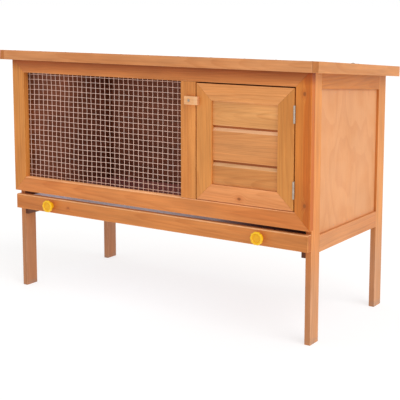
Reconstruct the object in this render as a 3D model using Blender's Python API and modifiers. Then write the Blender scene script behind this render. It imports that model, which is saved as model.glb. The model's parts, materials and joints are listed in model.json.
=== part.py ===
"""A rabbit hutch on four legs: a stained fir cabin with a wire window, a hinged
nest door with a turn button, a pull-out tray floor and a roof that lifts.

Metres, +Z up. The front faces -Y, and the origin is on the ground below the
middle of the roof.
"""

import math

import bmesh
import bpy
from mathutils import Matrix, Vector

# Overall sizes
BODY_WIDTH = 0.860
BODY_DEPTH = 0.389
ROOF_FRONT_HEIGHT = 0.620
ROOF_SLOPE = math.radians(4.4)
ROOF_SIDE_OVERHANG = 0.025
ROOF_FRONT_OVERHANG = 0.018
ROOF_REAR_OVERHANG = 0.015

# Gap left between faces that touch on the real hutch
SEAT_GAP = 0.0003

# Roof
FASCIA_HEIGHT = 0.024
FASCIA_THICKNESS = 0.015
FELT_BELOW_FASCIA_TOP = 0.0005
FELT_THICKNESS = 0.002
ROOF_BOARD_THICKNESS = 0.009

# Front frame
FRAME_THICKNESS = 0.016
FRAME_BATTEN = 0.038
FRAME_BOTTOM_Z = 0.257
FRAME_BELOW_ROOF_BOARD = 0.004
MULLION_WIDTH = 0.040
WINDOW_WIDTH = 0.4885

# Wire window, drawn with a coarse lattice
MESH_LAP = 0.010
MESH_WIRE = 0.0012
MESH_COLUMNS = 11
MESH_ROWS = 7

# Legs, sides and back
LEG_INSET = 0.004
LEG_THICKNESS = 0.014
LEG_WIDTH = 0.038
SIDE_RAIL_BOTTOM_Z = 0.201
SIDE_RAIL_HEIGHT = 0.038
TOP_RAIL_HEIGHT = 0.045
PANEL_THICKNESS = 0.005
PANEL_RECESS = 0.006

# Divider between the living side and the nest
PASSAGE_WIDTH = 0.150
PASSAGE_SIDE_HEIGHT = 0.120
PASSAGE_ARC_STEPS = 12

# Tray and its runners
TRAY_FRONT_HEIGHT = 0.037
TRAY_FRONT_THICKNESS = 0.015
TRAY_TOP_GAP = 0.0096
PAN_BOTTOM_ABOVE_FRONT_EDGE = 0.001
PAN_WALL = 0.001
PAN_HEIGHT = 0.028
PAN_SIDE_CLEARANCE = 0.003
PAN_REAR_CLEARANCE = 0.002
RUNNER_WIDTH = 0.010
RUNNER_HEIGHT = 0.018

# Tray knobs
KNOB_SPACING = 0.614
KNOB_DIAMETER = 0.031
KNOB_DEPTH = 0.0165
KNOB_RIM_DEPTH = 0.006
KNOB_DISH_DIAMETER = 0.019
KNOB_DISH_DEPTH = 0.0015
KNOB_STEM_DIAMETER = 0.018
KNOB_HOLE_DEPTH = 0.009
KNOB_EDGE = 0.0012

# Nest door
DOOR_STILE_WIDTH = 0.040
DOOR_RAIL_WIDTH = 0.0375
BOARD_THICKNESS = 0.0085
BOARD_RECESS = 0.0055
MIDDLE_BOARD_SHARE = 0.42
BOARD_LAP = 0.006
BOARD_CHAMFER = 0.004

# Turn button that keeps the door shut
BUTTON_HEIGHT = 0.019
BUTTON_THICKNESS = 0.0085
BUTTON_TAIL = 0.0133
BUTTON_PIVOT_TO_DOOR = 0.0151
BUTTON_END_CLEARANCE = 0.0005
BUTTON_BELOW_DOOR_TOP = 0.0395

# Wood screws
SCREW_SHANK_RADIUS = 0.0014
SCREW_HOLE_RADIUS = 0.0018
SCREW_HEAD_RADIUS = 0.0030
SCREW_HEAD_HEIGHT = 0.0016
BUTTON_SCREW_IN_WOOD = 0.011
KNOB_SCREW_END_CLEARANCE = 0.001

# Butt hinges
HINGE_PIN_RADIUS = 0.0011
HINGE_BORE_RADIUS = 0.0013
HINGE_LEAF_THICKNESS = 0.001
HINGE_KNUCKLE_GAP = 0.0003
DOOR_HINGE_LENGTH = 0.038
DOOR_HINGE_BARREL_RADIUS = 0.0022
DOOR_HINGE_LEAF_GAP = 0.0004
DOOR_HINGE_LEAF_WIDTH = 0.015
DOOR_HINGE_BARREL_CLEARANCE = 0.0002
DOOR_HINGE_FROM_TOP = 0.0555
DOOR_HINGE_FROM_BOTTOM = 0.046
ROOF_HINGE_LENGTH = 0.050
ROOF_HINGE_BARREL_RADIUS = 0.0025
ROOF_HINGE_BODY_LEAF = 0.020
ROOF_HINGE_LEAF_EDGE = 0.001
ROOF_HINGE_SPACING = 0.560

CIRCLE_STEPS = 16
KNOB_STEPS = 24

# Finishes: linear colour, roughness, metallic
STAINED_FIR = ((0.69, 0.27, 0.09), 0.45, 0.0)
DARK_FIR = ((0.53, 0.20, 0.08), 0.5, 0.0)
PLYWOOD = ((0.84, 0.40, 0.19), 0.5, 0.0)
BARE_WOOD = ((0.84, 0.55, 0.28), 0.6, 0.0)
GALVANISED = ((0.48, 0.47, 0.50), 0.4, 1.0)
WIRE = ((0.62, 0.56, 0.54), 0.4, 1.0)
STEEL = ((0.55, 0.55, 0.54), 0.35, 1.0)
YELLOW_PLASTIC = ((0.83, 0.42, 0.01), 0.35, 0.0)
FELT = ((0.045, 0.08, 0.05), 0.95, 0.0)

# Places that follow from the sizes
ROOF_WIDTH = BODY_WIDTH + 2 * ROOF_SIDE_OVERHANG
ROOF_RUN = ROOF_FRONT_OVERHANG + BODY_DEPTH + ROOF_REAR_OVERHANG
ROOF_LENGTH = ROOF_RUN / math.cos(ROOF_SLOPE)
FASCIA_LEAN = FASCIA_HEIGHT * math.sin(ROOF_SLOPE)
ROOF_FRONT_Y = (FASCIA_LEAN - ROOF_RUN) / 2
FRONT_Y = ROOF_FRONT_Y + ROOF_FRONT_OVERHANG
BACK_Y = FRONT_Y + BODY_DEPTH
FELT_BOTTOM = FELT_BELOW_FASCIA_TOP + FELT_THICKNESS
BOARD_TOP = FELT_BOTTOM + SEAT_GAP
BOARD_BOTTOM = BOARD_TOP + ROOF_BOARD_THICKNESS

LEG_OUTER_X = BODY_WIDTH / 2 - LEG_INSET
LEG_INNER_X = LEG_OUTER_X - LEG_THICKNESS
FRAME_BACK_Y = FRONT_Y + FRAME_THICKNESS
FRONT_LEG_Y = (FRAME_BACK_Y + SEAT_GAP, FRAME_BACK_Y + SEAT_GAP + LEG_WIDTH)
REAR_LEG_Y = (BACK_Y - LEG_WIDTH, BACK_Y)
SIDE_Y = (FRONT_LEG_Y[1] + SEAT_GAP, REAR_LEG_Y[0] - SEAT_GAP)
SIDE_RAIL_TOP_Z = SIDE_RAIL_BOTTOM_Z + SIDE_RAIL_HEIGHT
BACK_RAIL_Y = (BACK_Y - LEG_THICKNESS, BACK_Y)

WINDOW_LEFT_X = FRAME_BATTEN - BODY_WIDTH / 2
WINDOW_RIGHT_X = WINDOW_LEFT_X + WINDOW_WIDTH
MULLION_X = (WINDOW_RIGHT_X, WINDOW_RIGHT_X + MULLION_WIDTH)
DOOR_GAP = 2 * (HINGE_LEAF_THICKNESS + SEAT_GAP) + DOOR_HINGE_LEAF_GAP
DOOR_X = (MULLION_X[1] + DOOR_GAP, BODY_WIDTH / 2 - FRAME_BATTEN - DOOR_GAP)


def roof_plane_z(y, depth):
    """Height at y of the plane that lies this deep below the roof's top."""
    drop = (y - ROOF_FRONT_Y) * math.tan(ROOF_SLOPE) + depth / math.cos(ROOF_SLOPE)
    return ROOF_FRONT_HEIGHT - drop


def under_roof(y):
    """Height at y of a piece that carries the roof board."""
    return roof_plane_z(y, BOARD_BOTTOM + SEAT_GAP)


def roof_point(along, depth):
    """World (y, z) of a point this far down the roof and this deep below its top."""
    y = ROOF_FRONT_Y + along * math.cos(ROOF_SLOPE) - depth * math.sin(ROOF_SLOPE)
    z = ROOF_FRONT_HEIGHT - along * math.sin(ROOF_SLOPE) - depth * math.cos(ROOF_SLOPE)
    return y, z


FRAME_TOP_Z = roof_plane_z(FRAME_BACK_Y, BOARD_BOTTOM) - FRAME_BELOW_ROOF_BOARD
OPENING_Z = (FRAME_BOTTOM_Z + FRAME_BATTEN, FRAME_TOP_Z - FRAME_BATTEN)
DOOR_Z = (OPENING_Z[0] + DOOR_GAP / 2, OPENING_Z[1] - DOOR_GAP)
TRAY_FRONT_Z = (FRAME_BOTTOM_Z - TRAY_TOP_GAP - TRAY_FRONT_HEIGHT, FRAME_BOTTOM_Z - TRAY_TOP_GAP)
PAN_BOTTOM_Z = TRAY_FRONT_Z[0] + PAN_BOTTOM_ABOVE_FRONT_EDGE
PAN_FRONT_Y = FRONT_Y + TRAY_FRONT_THICKNESS + SEAT_GAP
KNOB_Z = (TRAY_FRONT_Z[0] + TRAY_FRONT_Z[1]) / 2
BUTTON_PIVOT = Vector((DOOR_X[0] - BUTTON_PIVOT_TO_DOOR, FRONT_Y, DOOR_Z[1] - BUTTON_BELOW_DOOR_TOP))
DOOR_HINGE_AXIS = (
    DOOR_X[1] + DOOR_GAP / 2,
    FRONT_Y - DOOR_HINGE_BARREL_CLEARANCE - DOOR_HINGE_BARREL_RADIUS,
)

# The roof hinge's barrel touches the back of the body and the rear fascia's underside
ROOF_HINGE_Y = BACK_Y + SEAT_GAP + ROOF_HINGE_BARREL_RADIUS
ROOF_HINGE_Z = roof_plane_z(ROOF_HINGE_Y, FASCIA_HEIGHT + SEAT_GAP + ROOF_HINGE_BARREL_RADIUS)


# ---------------------------------------------------------------- tools

# Where the local X, Y and Z of a flat outline point, for each drawing plane
PLANE_TURNS = {
    "XY": Matrix.Identity(4),
    "XZ": Matrix(((1, 0, 0, 0), (0, 0, -1, 0), (0, 1, 0, 0), (0, 0, 0, 1))),
    "YZ": Matrix(((0, 0, 1, 0), (1, 0, 0, 0), (0, 1, 0, 0), (0, 0, 0, 1))),
}
PLANE_NORMALS = {"XY": Vector((0, 0, 1)), "XZ": Vector((0, 1, 0)), "YZ": Vector((1, 0, 0))}


def clear_scene():
    for thing in list(bpy.data.objects):
        bpy.data.objects.remove(thing)


def new_collection(name):
    group = bpy.data.collections.new(name)
    bpy.context.scene.collection.children.link(group)
    return group


def dress(piece, finish):
    """Give a piece a material of its own."""
    colour, roughness, metallic = finish
    material = bpy.data.materials.new(piece.name + "_finish")
    material.use_nodes = True
    shader = material.node_tree.nodes["Principled BSDF"]
    shader.inputs["Base Color"].default_value = (*colour, 1)
    shader.inputs["Roughness"].default_value = roughness
    shader.inputs["Metallic"].default_value = metallic
    piece.data.materials.append(material)


def box(name, low, high, finish):
    """A cuboid between two corners."""
    low, high = Vector(low), Vector(high)
    sides = high - low
    mesh = bpy.data.meshes.new(name)
    shape = bmesh.new()
    bmesh.ops.create_cube(shape, size=1, matrix=Matrix.Diagonal((*sides, 1)))
    shape.to_mesh(mesh)
    shape.free()
    piece = bpy.data.objects.new(name, mesh)
    piece.location = (low + high) / 2
    hutch.objects.link(piece)
    dress(piece, finish)
    return piece


def roof_box(name, x_span, along_span, depth_span, finish):
    """A cuboid that lies square to the sloping roof."""
    sides = (x_span[1] - x_span[0], along_span[1] - along_span[0], depth_span[1] - depth_span[0])
    piece = box(name, (0, 0, 0), sides, finish)
    piece.location = (sum(x_span) / 2, *roof_point(sum(along_span) / 2, sum(depth_span) / 2))
    piece.rotation_euler.x = -ROOF_SLOPE
    return piece


def circle(centre, radius, steps=CIRCLE_STEPS):
    turns = [2 * math.pi * step / steps for step in range(steps)]
    return [(centre[0] + radius * math.cos(t), centre[1] + radius * math.sin(t)) for t in turns]


def flat_curve(name, plane, outline, span, holes=()):
    """An outline drawn in one plane and extruded over a span of that plane's normal."""
    curve = bpy.data.curves.new(name, "CURVE")
    curve.dimensions = "2D"
    curve.fill_mode = "BOTH"
    curve.extrude = (span[1] - span[0]) / 2
    for loop in (outline, *holes):
        spline = curve.splines.new("POLY")
        spline.points.add(len(loop) - 1)
        for point, (u, v) in zip(spline.points, loop):
            point.co = (u, v, 0, 1)
        spline.use_cyclic_u = True
    piece = bpy.data.objects.new(name, curve)
    middle = PLANE_NORMALS[plane] * (span[0] + span[1]) / 2
    piece.matrix_world = Matrix.Translation(middle) @ PLANE_TURNS[plane]
    return piece


def plank(name, plane, outline, span, finish, holes=()):
    """A flat piece of sheet or timber with any outline."""
    piece = flat_curve(name, plane, outline, span, holes)
    hutch.objects.link(piece)
    dress(piece, finish)
    return piece


def solid_plank(name, plane, outline, span, group, holes=()):
    """A flat piece as a welded mesh, which can be cut or can cut others."""
    drawn = flat_curve(name + "_outline", plane, outline, span, holes)
    group.objects.link(drawn)
    place = drawn.matrix_world.copy()
    evaluated = drawn.evaluated_get(bpy.context.evaluated_depsgraph_get())
    mesh = bpy.data.meshes.new_from_object(evaluated)
    mesh.name = name
    shape = bmesh.new()
    shape.from_mesh(mesh)
    bmesh.ops.remove_doubles(shape, verts=shape.verts, dist=0.00001)
    shape.to_mesh(mesh)
    shape.free()
    bpy.data.objects.remove(drawn)
    piece = bpy.data.objects.new(name, mesh)
    piece.matrix_world = place
    group.objects.link(piece)
    return piece


def cut(piece, cutter):
    """Take a cutter's shape out of a piece."""
    cutter.hide_render = True
    cutter.display_type = "WIRE"
    trim = piece.modifiers.new(cutter.name, "BOOLEAN")
    trim.operation = "DIFFERENCE"
    trim.object = cutter


def turned(name, profile, place, axis, steps, finish):
    """A round piece: a profile of (radius, height) points, top to bottom, spun about an axis."""
    mesh = bpy.data.meshes.new(name)
    verts = [(radius, 0, height) for radius, height in profile]
    mesh.from_pydata(verts, [(i, i + 1) for i in range(len(verts) - 1)], [])
    piece = bpy.data.objects.new(name, mesh)
    piece.location = place
    piece.rotation_mode = "QUATERNION"
    piece.rotation_quaternion = Vector((0, 0, 1)).rotation_difference(Vector(axis))
    spin = piece.modifiers.new("spin", "SCREW")
    spin.steps = steps
    spin.render_steps = steps
    spin.use_merge_vertices = True
    spin.merge_threshold = 0.00001
    hutch.objects.link(piece)
    dress(piece, finish)
    return piece


def cylinder(name, radius, span, plane, centre, finish):
    """A round pin along a plane's normal."""
    mesh = bpy.data.meshes.new(name)
    shape = bmesh.new()
    bmesh.ops.create_cone(shape, cap_ends=True, segments=CIRCLE_STEPS, radius1=radius,
                          radius2=radius, depth=span[1] - span[0])
    shape.to_mesh(mesh)
    shape.free()
    mesh.shade_smooth()
    mesh.set_sharp_from_angle(angle=math.radians(40))
    piece = bpy.data.objects.new(name, mesh)
    flat = Matrix.Translation((*centre, (span[0] + span[1]) / 2))
    piece.matrix_world = PLANE_TURNS[plane] @ flat
    hutch.objects.link(piece)
    dress(piece, finish)
    return piece


def screw(name, length, place, axis, finish):
    """A pan-head wood screw whose head sits on `place` and faces along `axis`."""
    profile = [
        (0, SCREW_HEAD_HEIGHT),
        (SCREW_HEAD_RADIUS * 0.6, SCREW_HEAD_HEIGHT),
        (SCREW_HEAD_RADIUS, SCREW_HEAD_HEIGHT / 2),
        (SCREW_HEAD_RADIUS, 0),
        (SCREW_SHANK_RADIUS, 0),
        (SCREW_SHANK_RADIUS, -length + SCREW_SHANK_RADIUS),
        (0, -length),
    ]
    return turned(name, profile, place, axis, CIRCLE_STEPS, finish)


def pivot(name, place):
    """An empty on a joint's axis."""
    axis = bpy.data.objects.new(name, None)
    axis.location = place
    axis.empty_display_size = 0.05
    hutch.objects.link(axis)
    return axis


def hang_on(axis, pieces):
    """Parent pieces to a joint's empty without moving them."""
    for piece in pieces:
        piece.parent = axis
        piece.matrix_parent_inverse = Matrix.Translation(-axis.location)


def mirror_pair(low_x, high_x):
    """The same span of X on the left and on the right of the hutch."""
    return {"left": (-high_x, -low_x), "right": (low_x, high_x)}


# ---------------------------------------------------------------- front frame

def make_front_frame():
    """Four mitred battens and a mullion."""
    outer_x = BODY_WIDTH / 2
    inner_x = outer_x - FRAME_BATTEN
    inner_z = OPENING_Z
    span = (FRONT_Y, FRAME_BACK_Y)
    for side, sign in (("left", -1), ("right", 1)):
        corners = [(sign * outer_x, FRAME_BOTTOM_Z), (sign * outer_x, FRAME_TOP_Z),
                   (sign * inner_x, inner_z[1]), (sign * inner_x, inner_z[0])]
        plank("front_stile_" + side, "XZ", corners, span, STAINED_FIR)
    mitre = SEAT_GAP * math.sqrt(2)
    for name, outer_z, rail_z in (("front_bottom_rail", FRAME_BOTTOM_Z, inner_z[0]),
                                  ("front_top_rail", FRAME_TOP_Z, inner_z[1])):
        corners = [(-outer_x + mitre, outer_z), (outer_x - mitre, outer_z),
                   (inner_x - mitre, rail_z), (-inner_x + mitre, rail_z)]
        plank(name, "XZ", corners, span, STAINED_FIR)
    bottom, top = inner_z[0] + SEAT_GAP, inner_z[1] - SEAT_GAP
    corners = [(MULLION_X[0], bottom), (MULLION_X[1], bottom), (MULLION_X[1], top), (MULLION_X[0], top)]
    screw_hole = circle((BUTTON_PIVOT.x, BUTTON_PIVOT.z), SCREW_HOLE_RADIUS)
    plank("front_mullion", "XZ", corners, span, STAINED_FIR, [screw_hole])


def make_window_mesh():
    """Welded wire behind the window, lapped onto the back of the frame."""
    width = WINDOW_WIDTH + 2 * MESH_LAP
    height = OPENING_Z[1] - OPENING_Z[0] + 2 * MESH_LAP
    mesh = bpy.data.meshes.new("window_mesh")
    shape = bmesh.new()
    bmesh.ops.create_grid(shape, x_segments=MESH_COLUMNS, y_segments=MESH_ROWS, size=0.5,
                          matrix=Matrix.Diagonal((width, height, 1, 1)))
    shape.to_mesh(mesh)
    shape.free()
    piece = bpy.data.objects.new("window_mesh", mesh)
    middle = Vector((
        WINDOW_LEFT_X + WINDOW_WIDTH / 2,
        FRAME_BACK_Y + SEAT_GAP + MESH_WIRE / 2,
        (OPENING_Z[0] + OPENING_Z[1]) / 2,
    ))
    piece.matrix_world = Matrix.Translation(middle) @ PLANE_TURNS["XZ"]
    wires = piece.modifiers.new("wires", "WIREFRAME")
    wires.thickness = MESH_WIRE
    wires.use_boundary = True
    wires.use_even_offset = False
    hutch.objects.link(piece)
    dress(piece, WIRE)


# ---------------------------------------------------------------- legs, sides and back

def make_legs():
    """Four full-height legs whose tops follow the roof."""
    for side, x_span in mirror_pair(LEG_INNER_X, LEG_OUTER_X).items():
        for end, (near, far) in (("front", FRONT_LEG_Y), ("rear", REAR_LEG_Y)):
            outline = [(near, 0), (far, 0), (far, under_roof(far)), (near, under_roof(near))]
            plank(f"leg_{end}_{side}", "YZ", outline, x_span, STAINED_FIR)


def make_sides():
    """A rail at the bottom, a sloping rail under the roof and a plywood panel between."""
    near, far = SIDE_Y
    panel_outer = LEG_OUTER_X - PANEL_RECESS
    panels = mirror_pair(panel_outer - PANEL_THICKNESS, panel_outer)
    for side, x_span in mirror_pair(LEG_INNER_X, LEG_OUTER_X).items():
        bottom_rail = (x_span[0], near, SIDE_RAIL_BOTTOM_Z), (x_span[1], far, SIDE_RAIL_TOP_Z)
        box("side_bottom_rail_" + side, *bottom_rail, STAINED_FIR)
        rail = [(near, under_roof(near) - TOP_RAIL_HEIGHT), (far, under_roof(far) - TOP_RAIL_HEIGHT),
                (far, under_roof(far)), (near, under_roof(near))]
        plank("side_top_rail_" + side, "YZ", rail, x_span, STAINED_FIR)
        panel_bottom = SIDE_RAIL_TOP_Z + SEAT_GAP
        panel = [(near, panel_bottom), (far, panel_bottom),
                 (far, rail[1][1] - SEAT_GAP), (near, rail[0][1] - SEAT_GAP)]
        plank("side_panel_" + side, "YZ", panel, panels[side], PLYWOOD)


def make_back():
    """Two rails between the rear legs and a plywood panel between the rails."""
    span = (SEAT_GAP - LEG_INNER_X, LEG_INNER_X - SEAT_GAP)
    near, far = BACK_RAIL_Y
    rail_bottom = under_roof(far) - SIDE_RAIL_HEIGHT
    rail = [(near, rail_bottom), (far, rail_bottom), (far, under_roof(far)), (near, under_roof(near))]
    plank("back_top_rail", "YZ", rail, span, STAINED_FIR)
    box("back_bottom_rail", (span[0], near, SIDE_RAIL_BOTTOM_Z), (span[1], far, SIDE_RAIL_TOP_Z),
        STAINED_FIR)
    panel_back = BACK_Y - PANEL_RECESS
    box("back_panel", (span[0], panel_back - PANEL_THICKNESS, SIDE_RAIL_TOP_Z + SEAT_GAP),
        (span[1], panel_back, rail_bottom - SEAT_GAP), PLYWOOD)


def make_divider():
    """A plywood wall behind the mullion with an arched way through."""
    near, far = FRAME_BACK_Y + SEAT_GAP, BACK_RAIL_Y[0] - SEAT_GAP
    bottom = FRAME_BOTTOM_Z
    middle = (near + far) / 2
    spring = bottom + PASSAGE_SIDE_HEIGHT
    radius = PASSAGE_WIDTH / 2
    arch = []
    for step in range(PASSAGE_ARC_STEPS + 1):
        turn = math.pi * step / PASSAGE_ARC_STEPS
        arch.append((middle - radius * math.cos(turn), spring + radius * math.sin(turn)))
    outline = [(near, bottom), (middle - radius, bottom), *arch, (middle + radius, bottom),
               (far, bottom), (far, under_roof(far)), (near, under_roof(near))]
    centre_x = (MULLION_X[0] + MULLION_X[1]) / 2 + PANEL_THICKNESS / 2
    plank("divider", "YZ", outline, (centre_x, centre_x + PANEL_THICKNESS), PLYWOOD)


# ---------------------------------------------------------------- tray

def make_runners():
    """Battens inside the legs that carry the tray."""
    outer = LEG_INNER_X - SEAT_GAP
    top = PAN_BOTTOM_Z - SEAT_GAP
    for side, x_span in mirror_pair(outer - RUNNER_WIDTH, outer).items():
        box("tray_runner_" + side, (x_span[0], FRONT_LEG_Y[0], top - RUNNER_HEIGHT),
            (x_span[1], BACK_RAIL_Y[0] - SEAT_GAP, top), DARK_FIR)


def make_tray():
    """A wooden front with two knobs, screwed to a folded sheet-metal pan."""
    slide = pivot("tray_slide_axis", (0, FRONT_Y, KNOB_Z))
    knob_places = {"left": -KNOB_SPACING / 2, "right": KNOB_SPACING / 2}
    low, high = TRAY_FRONT_Z
    outline = [(-LEG_OUTER_X, low), (LEG_OUTER_X, low), (LEG_OUTER_X, high), (-LEG_OUTER_X, high)]
    holes = [circle((x, KNOB_Z), SCREW_HOLE_RADIUS) for x in knob_places.values()]
    span = (FRONT_Y, FRONT_Y + TRAY_FRONT_THICKNESS)
    moving = [plank("tray_front", "XZ", outline, span, STAINED_FIR, holes)]

    pan = make_pan()
    moving.append(pan)
    for side, x in knob_places.items():
        hole = solid_plank("pan_hole_" + side, "XZ", circle((x, KNOB_Z), SCREW_HOLE_RADIUS),
                           (FRONT_Y, PAN_FRONT_Y + LEG_WIDTH), cutters)
        cut(pan, hole)
        moving.append(make_knob("knob_" + side, x))
        head_y = PAN_FRONT_Y + PAN_WALL + SEAT_GAP
        reach = head_y - (FRONT_Y - KNOB_HOLE_DEPTH) - KNOB_SCREW_END_CLEARANCE
        moving.append(screw("knob_screw_" + side, reach, (x, head_y, KNOB_Z), (0, 1, 0), STEEL))
    hang_on(slide, moving)


def make_pan():
    """An open-topped pan of even wall."""
    half_width = LEG_INNER_X - PAN_SIDE_CLEARANCE
    low = Vector((-half_width, PAN_FRONT_Y, PAN_BOTTOM_Z))
    high = Vector((half_width, BACK_RAIL_Y[0] - PAN_REAR_CLEARANCE, PAN_BOTTOM_Z + PAN_HEIGHT))
    pan = box("tray_pan", low, high, GALVANISED)
    shape = bmesh.new()
    shape.from_mesh(pan.data)
    lid = [face for face in shape.faces if face.normal.z > 0.5]
    bmesh.ops.delete(shape, geom=lid, context="FACES_ONLY")
    shape.to_mesh(pan.data)
    shape.free()
    wall = pan.modifiers.new("wall", "SOLIDIFY")
    wall.thickness = PAN_WALL
    wall.offset = -1
    wall.use_even_offset = True
    return pan


def make_knob(name, x):
    """A round knob with a broad rim, a dished face and a blind hole for its screw."""
    radius = KNOB_DIAMETER / 2
    dish = KNOB_DISH_DIAMETER / 2
    face = KNOB_DEPTH
    rim_back = face - KNOB_RIM_DEPTH
    profile = [
        (0, face - KNOB_DISH_DEPTH),
        (dish, face - KNOB_DISH_DEPTH),
        (dish + KNOB_EDGE, face),
        (radius - KNOB_EDGE, face),
        (radius, face - KNOB_EDGE),
        (radius, rim_back),
        (radius - KNOB_EDGE, rim_back - KNOB_EDGE),
        (KNOB_STEM_DIAMETER / 2, rim_back - 2 * KNOB_EDGE),
        (KNOB_STEM_DIAMETER / 2, SEAT_GAP),
        (SCREW_HOLE_RADIUS, SEAT_GAP),
        (SCREW_HOLE_RADIUS, KNOB_HOLE_DEPTH),
        (0, KNOB_HOLE_DEPTH),
    ]
    return turned(name, profile, (x, FRONT_Y, KNOB_Z), (0, -1, 0), KNOB_STEPS, YELLOW_PLASTIC)


# ---------------------------------------------------------------- nest door

def make_door_frame():
    """A mitred frame, flush with the front of the cabin."""
    (left, right), (low, high) = DOOR_X, DOOR_Z
    inner_left, inner_right = left + DOOR_STILE_WIDTH, right - DOOR_STILE_WIDTH
    inner_low, inner_high = low + DOOR_RAIL_WIDTH, high - DOOR_RAIL_WIDTH
    mitre = SEAT_GAP * math.sqrt(2)
    outlines = {
        "door_stile_left": [(left, low), (left, high), (inner_left, inner_high), (inner_left, inner_low)],
        "door_stile_right": [(right, low), (right, high), (inner_right, inner_high), (inner_right, inner_low)],
        "door_bottom_rail": [(left + mitre, low), (right - mitre, low),
                             (inner_right - mitre, inner_low), (inner_left + mitre, inner_low)],
        "door_top_rail": [(left + mitre, high), (right - mitre, high),
                          (inner_right - mitre, inner_high), (inner_left + mitre, inner_high)],
    }
    span = (FRONT_Y, FRAME_BACK_Y)
    return [plank(name, "XZ", outline, span, STAINED_FIR) for name, outline in outlines.items()]


def make_door_boards():
    """Three shiplap boards in the door frame: each tucks behind the one above."""
    low, high = DOOR_Z[0] + DOOR_RAIL_WIDTH + SEAT_GAP, DOOR_Z[1] - DOOR_RAIL_WIDTH - SEAT_GAP
    outer_board = (high - low) * (1 - MIDDLE_BOARD_SHARE) / 2
    joints = (low + outer_board, high - outer_board)
    front = FRONT_Y + BOARD_RECESS
    back = front + BOARD_THICKNESS
    tongue = (front + back) / 2
    span = (DOOR_X[0] + DOOR_STILE_WIDTH + SEAT_GAP, DOOR_X[1] - DOOR_STILE_WIDTH - SEAT_GAP)
    boards = []
    for name, bottom, top in (("bottom", low, joints[0]), ("middle", *joints), ("top", joints[1], high)):
        if bottom == low:
            foot = [(front, bottom), (back, bottom)]
        else:
            foot = [(front, bottom), (tongue - SEAT_GAP, bottom),
                    (tongue - SEAT_GAP, bottom + BOARD_LAP), (back, bottom + BOARD_LAP)]
        if top == high:
            head = [(back, top), (front, top)]
        else:
            shoulder = top - SEAT_GAP
            head = [(back, top + BOARD_LAP - SEAT_GAP), (tongue, top + BOARD_LAP - SEAT_GAP),
                    (tongue, shoulder), (front, shoulder - BOARD_CHAMFER)]
        boards.append(plank("door_board_" + name, "YZ", foot + head, span, STAINED_FIR))
    return boards


def make_turn_button():
    """A wooden button on a screw; it turns clear of the door."""
    nose = BUTTON_PIVOT_TO_DOOR - BUTTON_END_CLEARANCE
    centre = BUTTON_PIVOT
    left, right = centre.x - BUTTON_TAIL, centre.x + nose
    low, high = centre.z - BUTTON_HEIGHT / 2, centre.z + BUTTON_HEIGHT / 2
    back = FRONT_Y - SEAT_GAP
    face = back - BUTTON_THICKNESS
    outline = [(left, low), (right, low), (right, high), (left, high)]
    button = plank("latch_button", "XZ", outline, (face, back), BARE_WOOD,
                   [circle((centre.x, centre.z), SCREW_HOLE_RADIUS)])
    hang_on(pivot("latch_axis", centre), [button])
    length = BUTTON_THICKNESS + 2 * SEAT_GAP + BUTTON_SCREW_IN_WOOD
    screw("latch_screw", length, (centre.x, face - SEAT_GAP, centre.z), (0, -1, 0), STEEL)


# ---------------------------------------------------------------- hinges

def make_leaf(name, plane, axis, along, towards, plate_band, plate_length, barrel_radius, span, keep_ends):
    """One leaf of a butt hinge, drawn across its pin.

    The plate runs `along` from the barrel, offset `towards` by the two distances of
    plate_band. keep_ends leaves the two end knuckles, otherwise the middle one.
    """
    low_side, high_side = plate_band

    def place(a, b):
        return (axis[0] + along[0] * a + towards[0] * b, axis[1] + along[1] * a + towards[1] * b)

    start = math.asin(min(1, high_side / barrel_radius))
    end = 2 * math.pi + math.asin(low_side / barrel_radius)
    outline = []
    for step in range(CIRCLE_STEPS + 1):
        turn = start + (end - start) * step / CIRCLE_STEPS
        outline.append(place(barrel_radius * math.cos(turn), barrel_radius * math.sin(turn)))
    outline += [place(plate_length, low_side), place(plate_length, high_side)]
    leaf = solid_plank(name, plane, outline, span, hutch, [circle(axis, HINGE_BORE_RADIUS)])
    dress(leaf, STEEL)

    third = (span[1] - span[0]) / 3
    first, second = span[0] + third, span[1] - third
    gap = HINGE_KNUCKLE_GAP / 2
    past = 2 * barrel_radius
    if keep_ends:
        cuts = [(first - gap, second + gap)]
    else:
        cuts = [(span[0] - past, first + gap), (second - gap, span[1] + past)]
    clear = barrel_radius + HINGE_KNUCKLE_GAP
    room = [place(-past, -past), place(clear, -past), place(clear, past), place(-past, past)]
    for number, cut_span in enumerate(cuts):
        cut(leaf, solid_plank(f"{name}_cutter_{number}", plane, room, cut_span, cutters))
    return leaf


def make_door_hinges():
    """Two butt hinges in the gap at the door's right edge. Returns the door's leaves."""
    heights = {"upper": DOOR_Z[1] - DOOR_HINGE_FROM_TOP, "lower": DOOR_Z[0] + DOOR_HINGE_FROM_BOTTOM}
    band = (DOOR_HINGE_LEAF_GAP / 2, DOOR_HINGE_LEAF_GAP / 2 + HINGE_LEAF_THICKNESS)
    leaves = []
    for place, height in heights.items():
        span = (height - DOOR_HINGE_LENGTH / 2, height + DOOR_HINGE_LENGTH / 2)
        name = "door_hinge_" + place
        shared = (band, DOOR_HINGE_LEAF_WIDTH, DOOR_HINGE_BARREL_RADIUS, span)
        make_leaf(name + "_frame_leaf", "XY", DOOR_HINGE_AXIS, (0, 1), (1, 0), *shared, True)
        leaves.append(make_leaf(name + "_door_leaf", "XY", DOOR_HINGE_AXIS, (0, 1), (-1, 0), *shared, False))
        cylinder(name + "_pin", HINGE_PIN_RADIUS, span, "XY", DOOR_HINGE_AXIS, STEEL)
    return leaves


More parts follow.
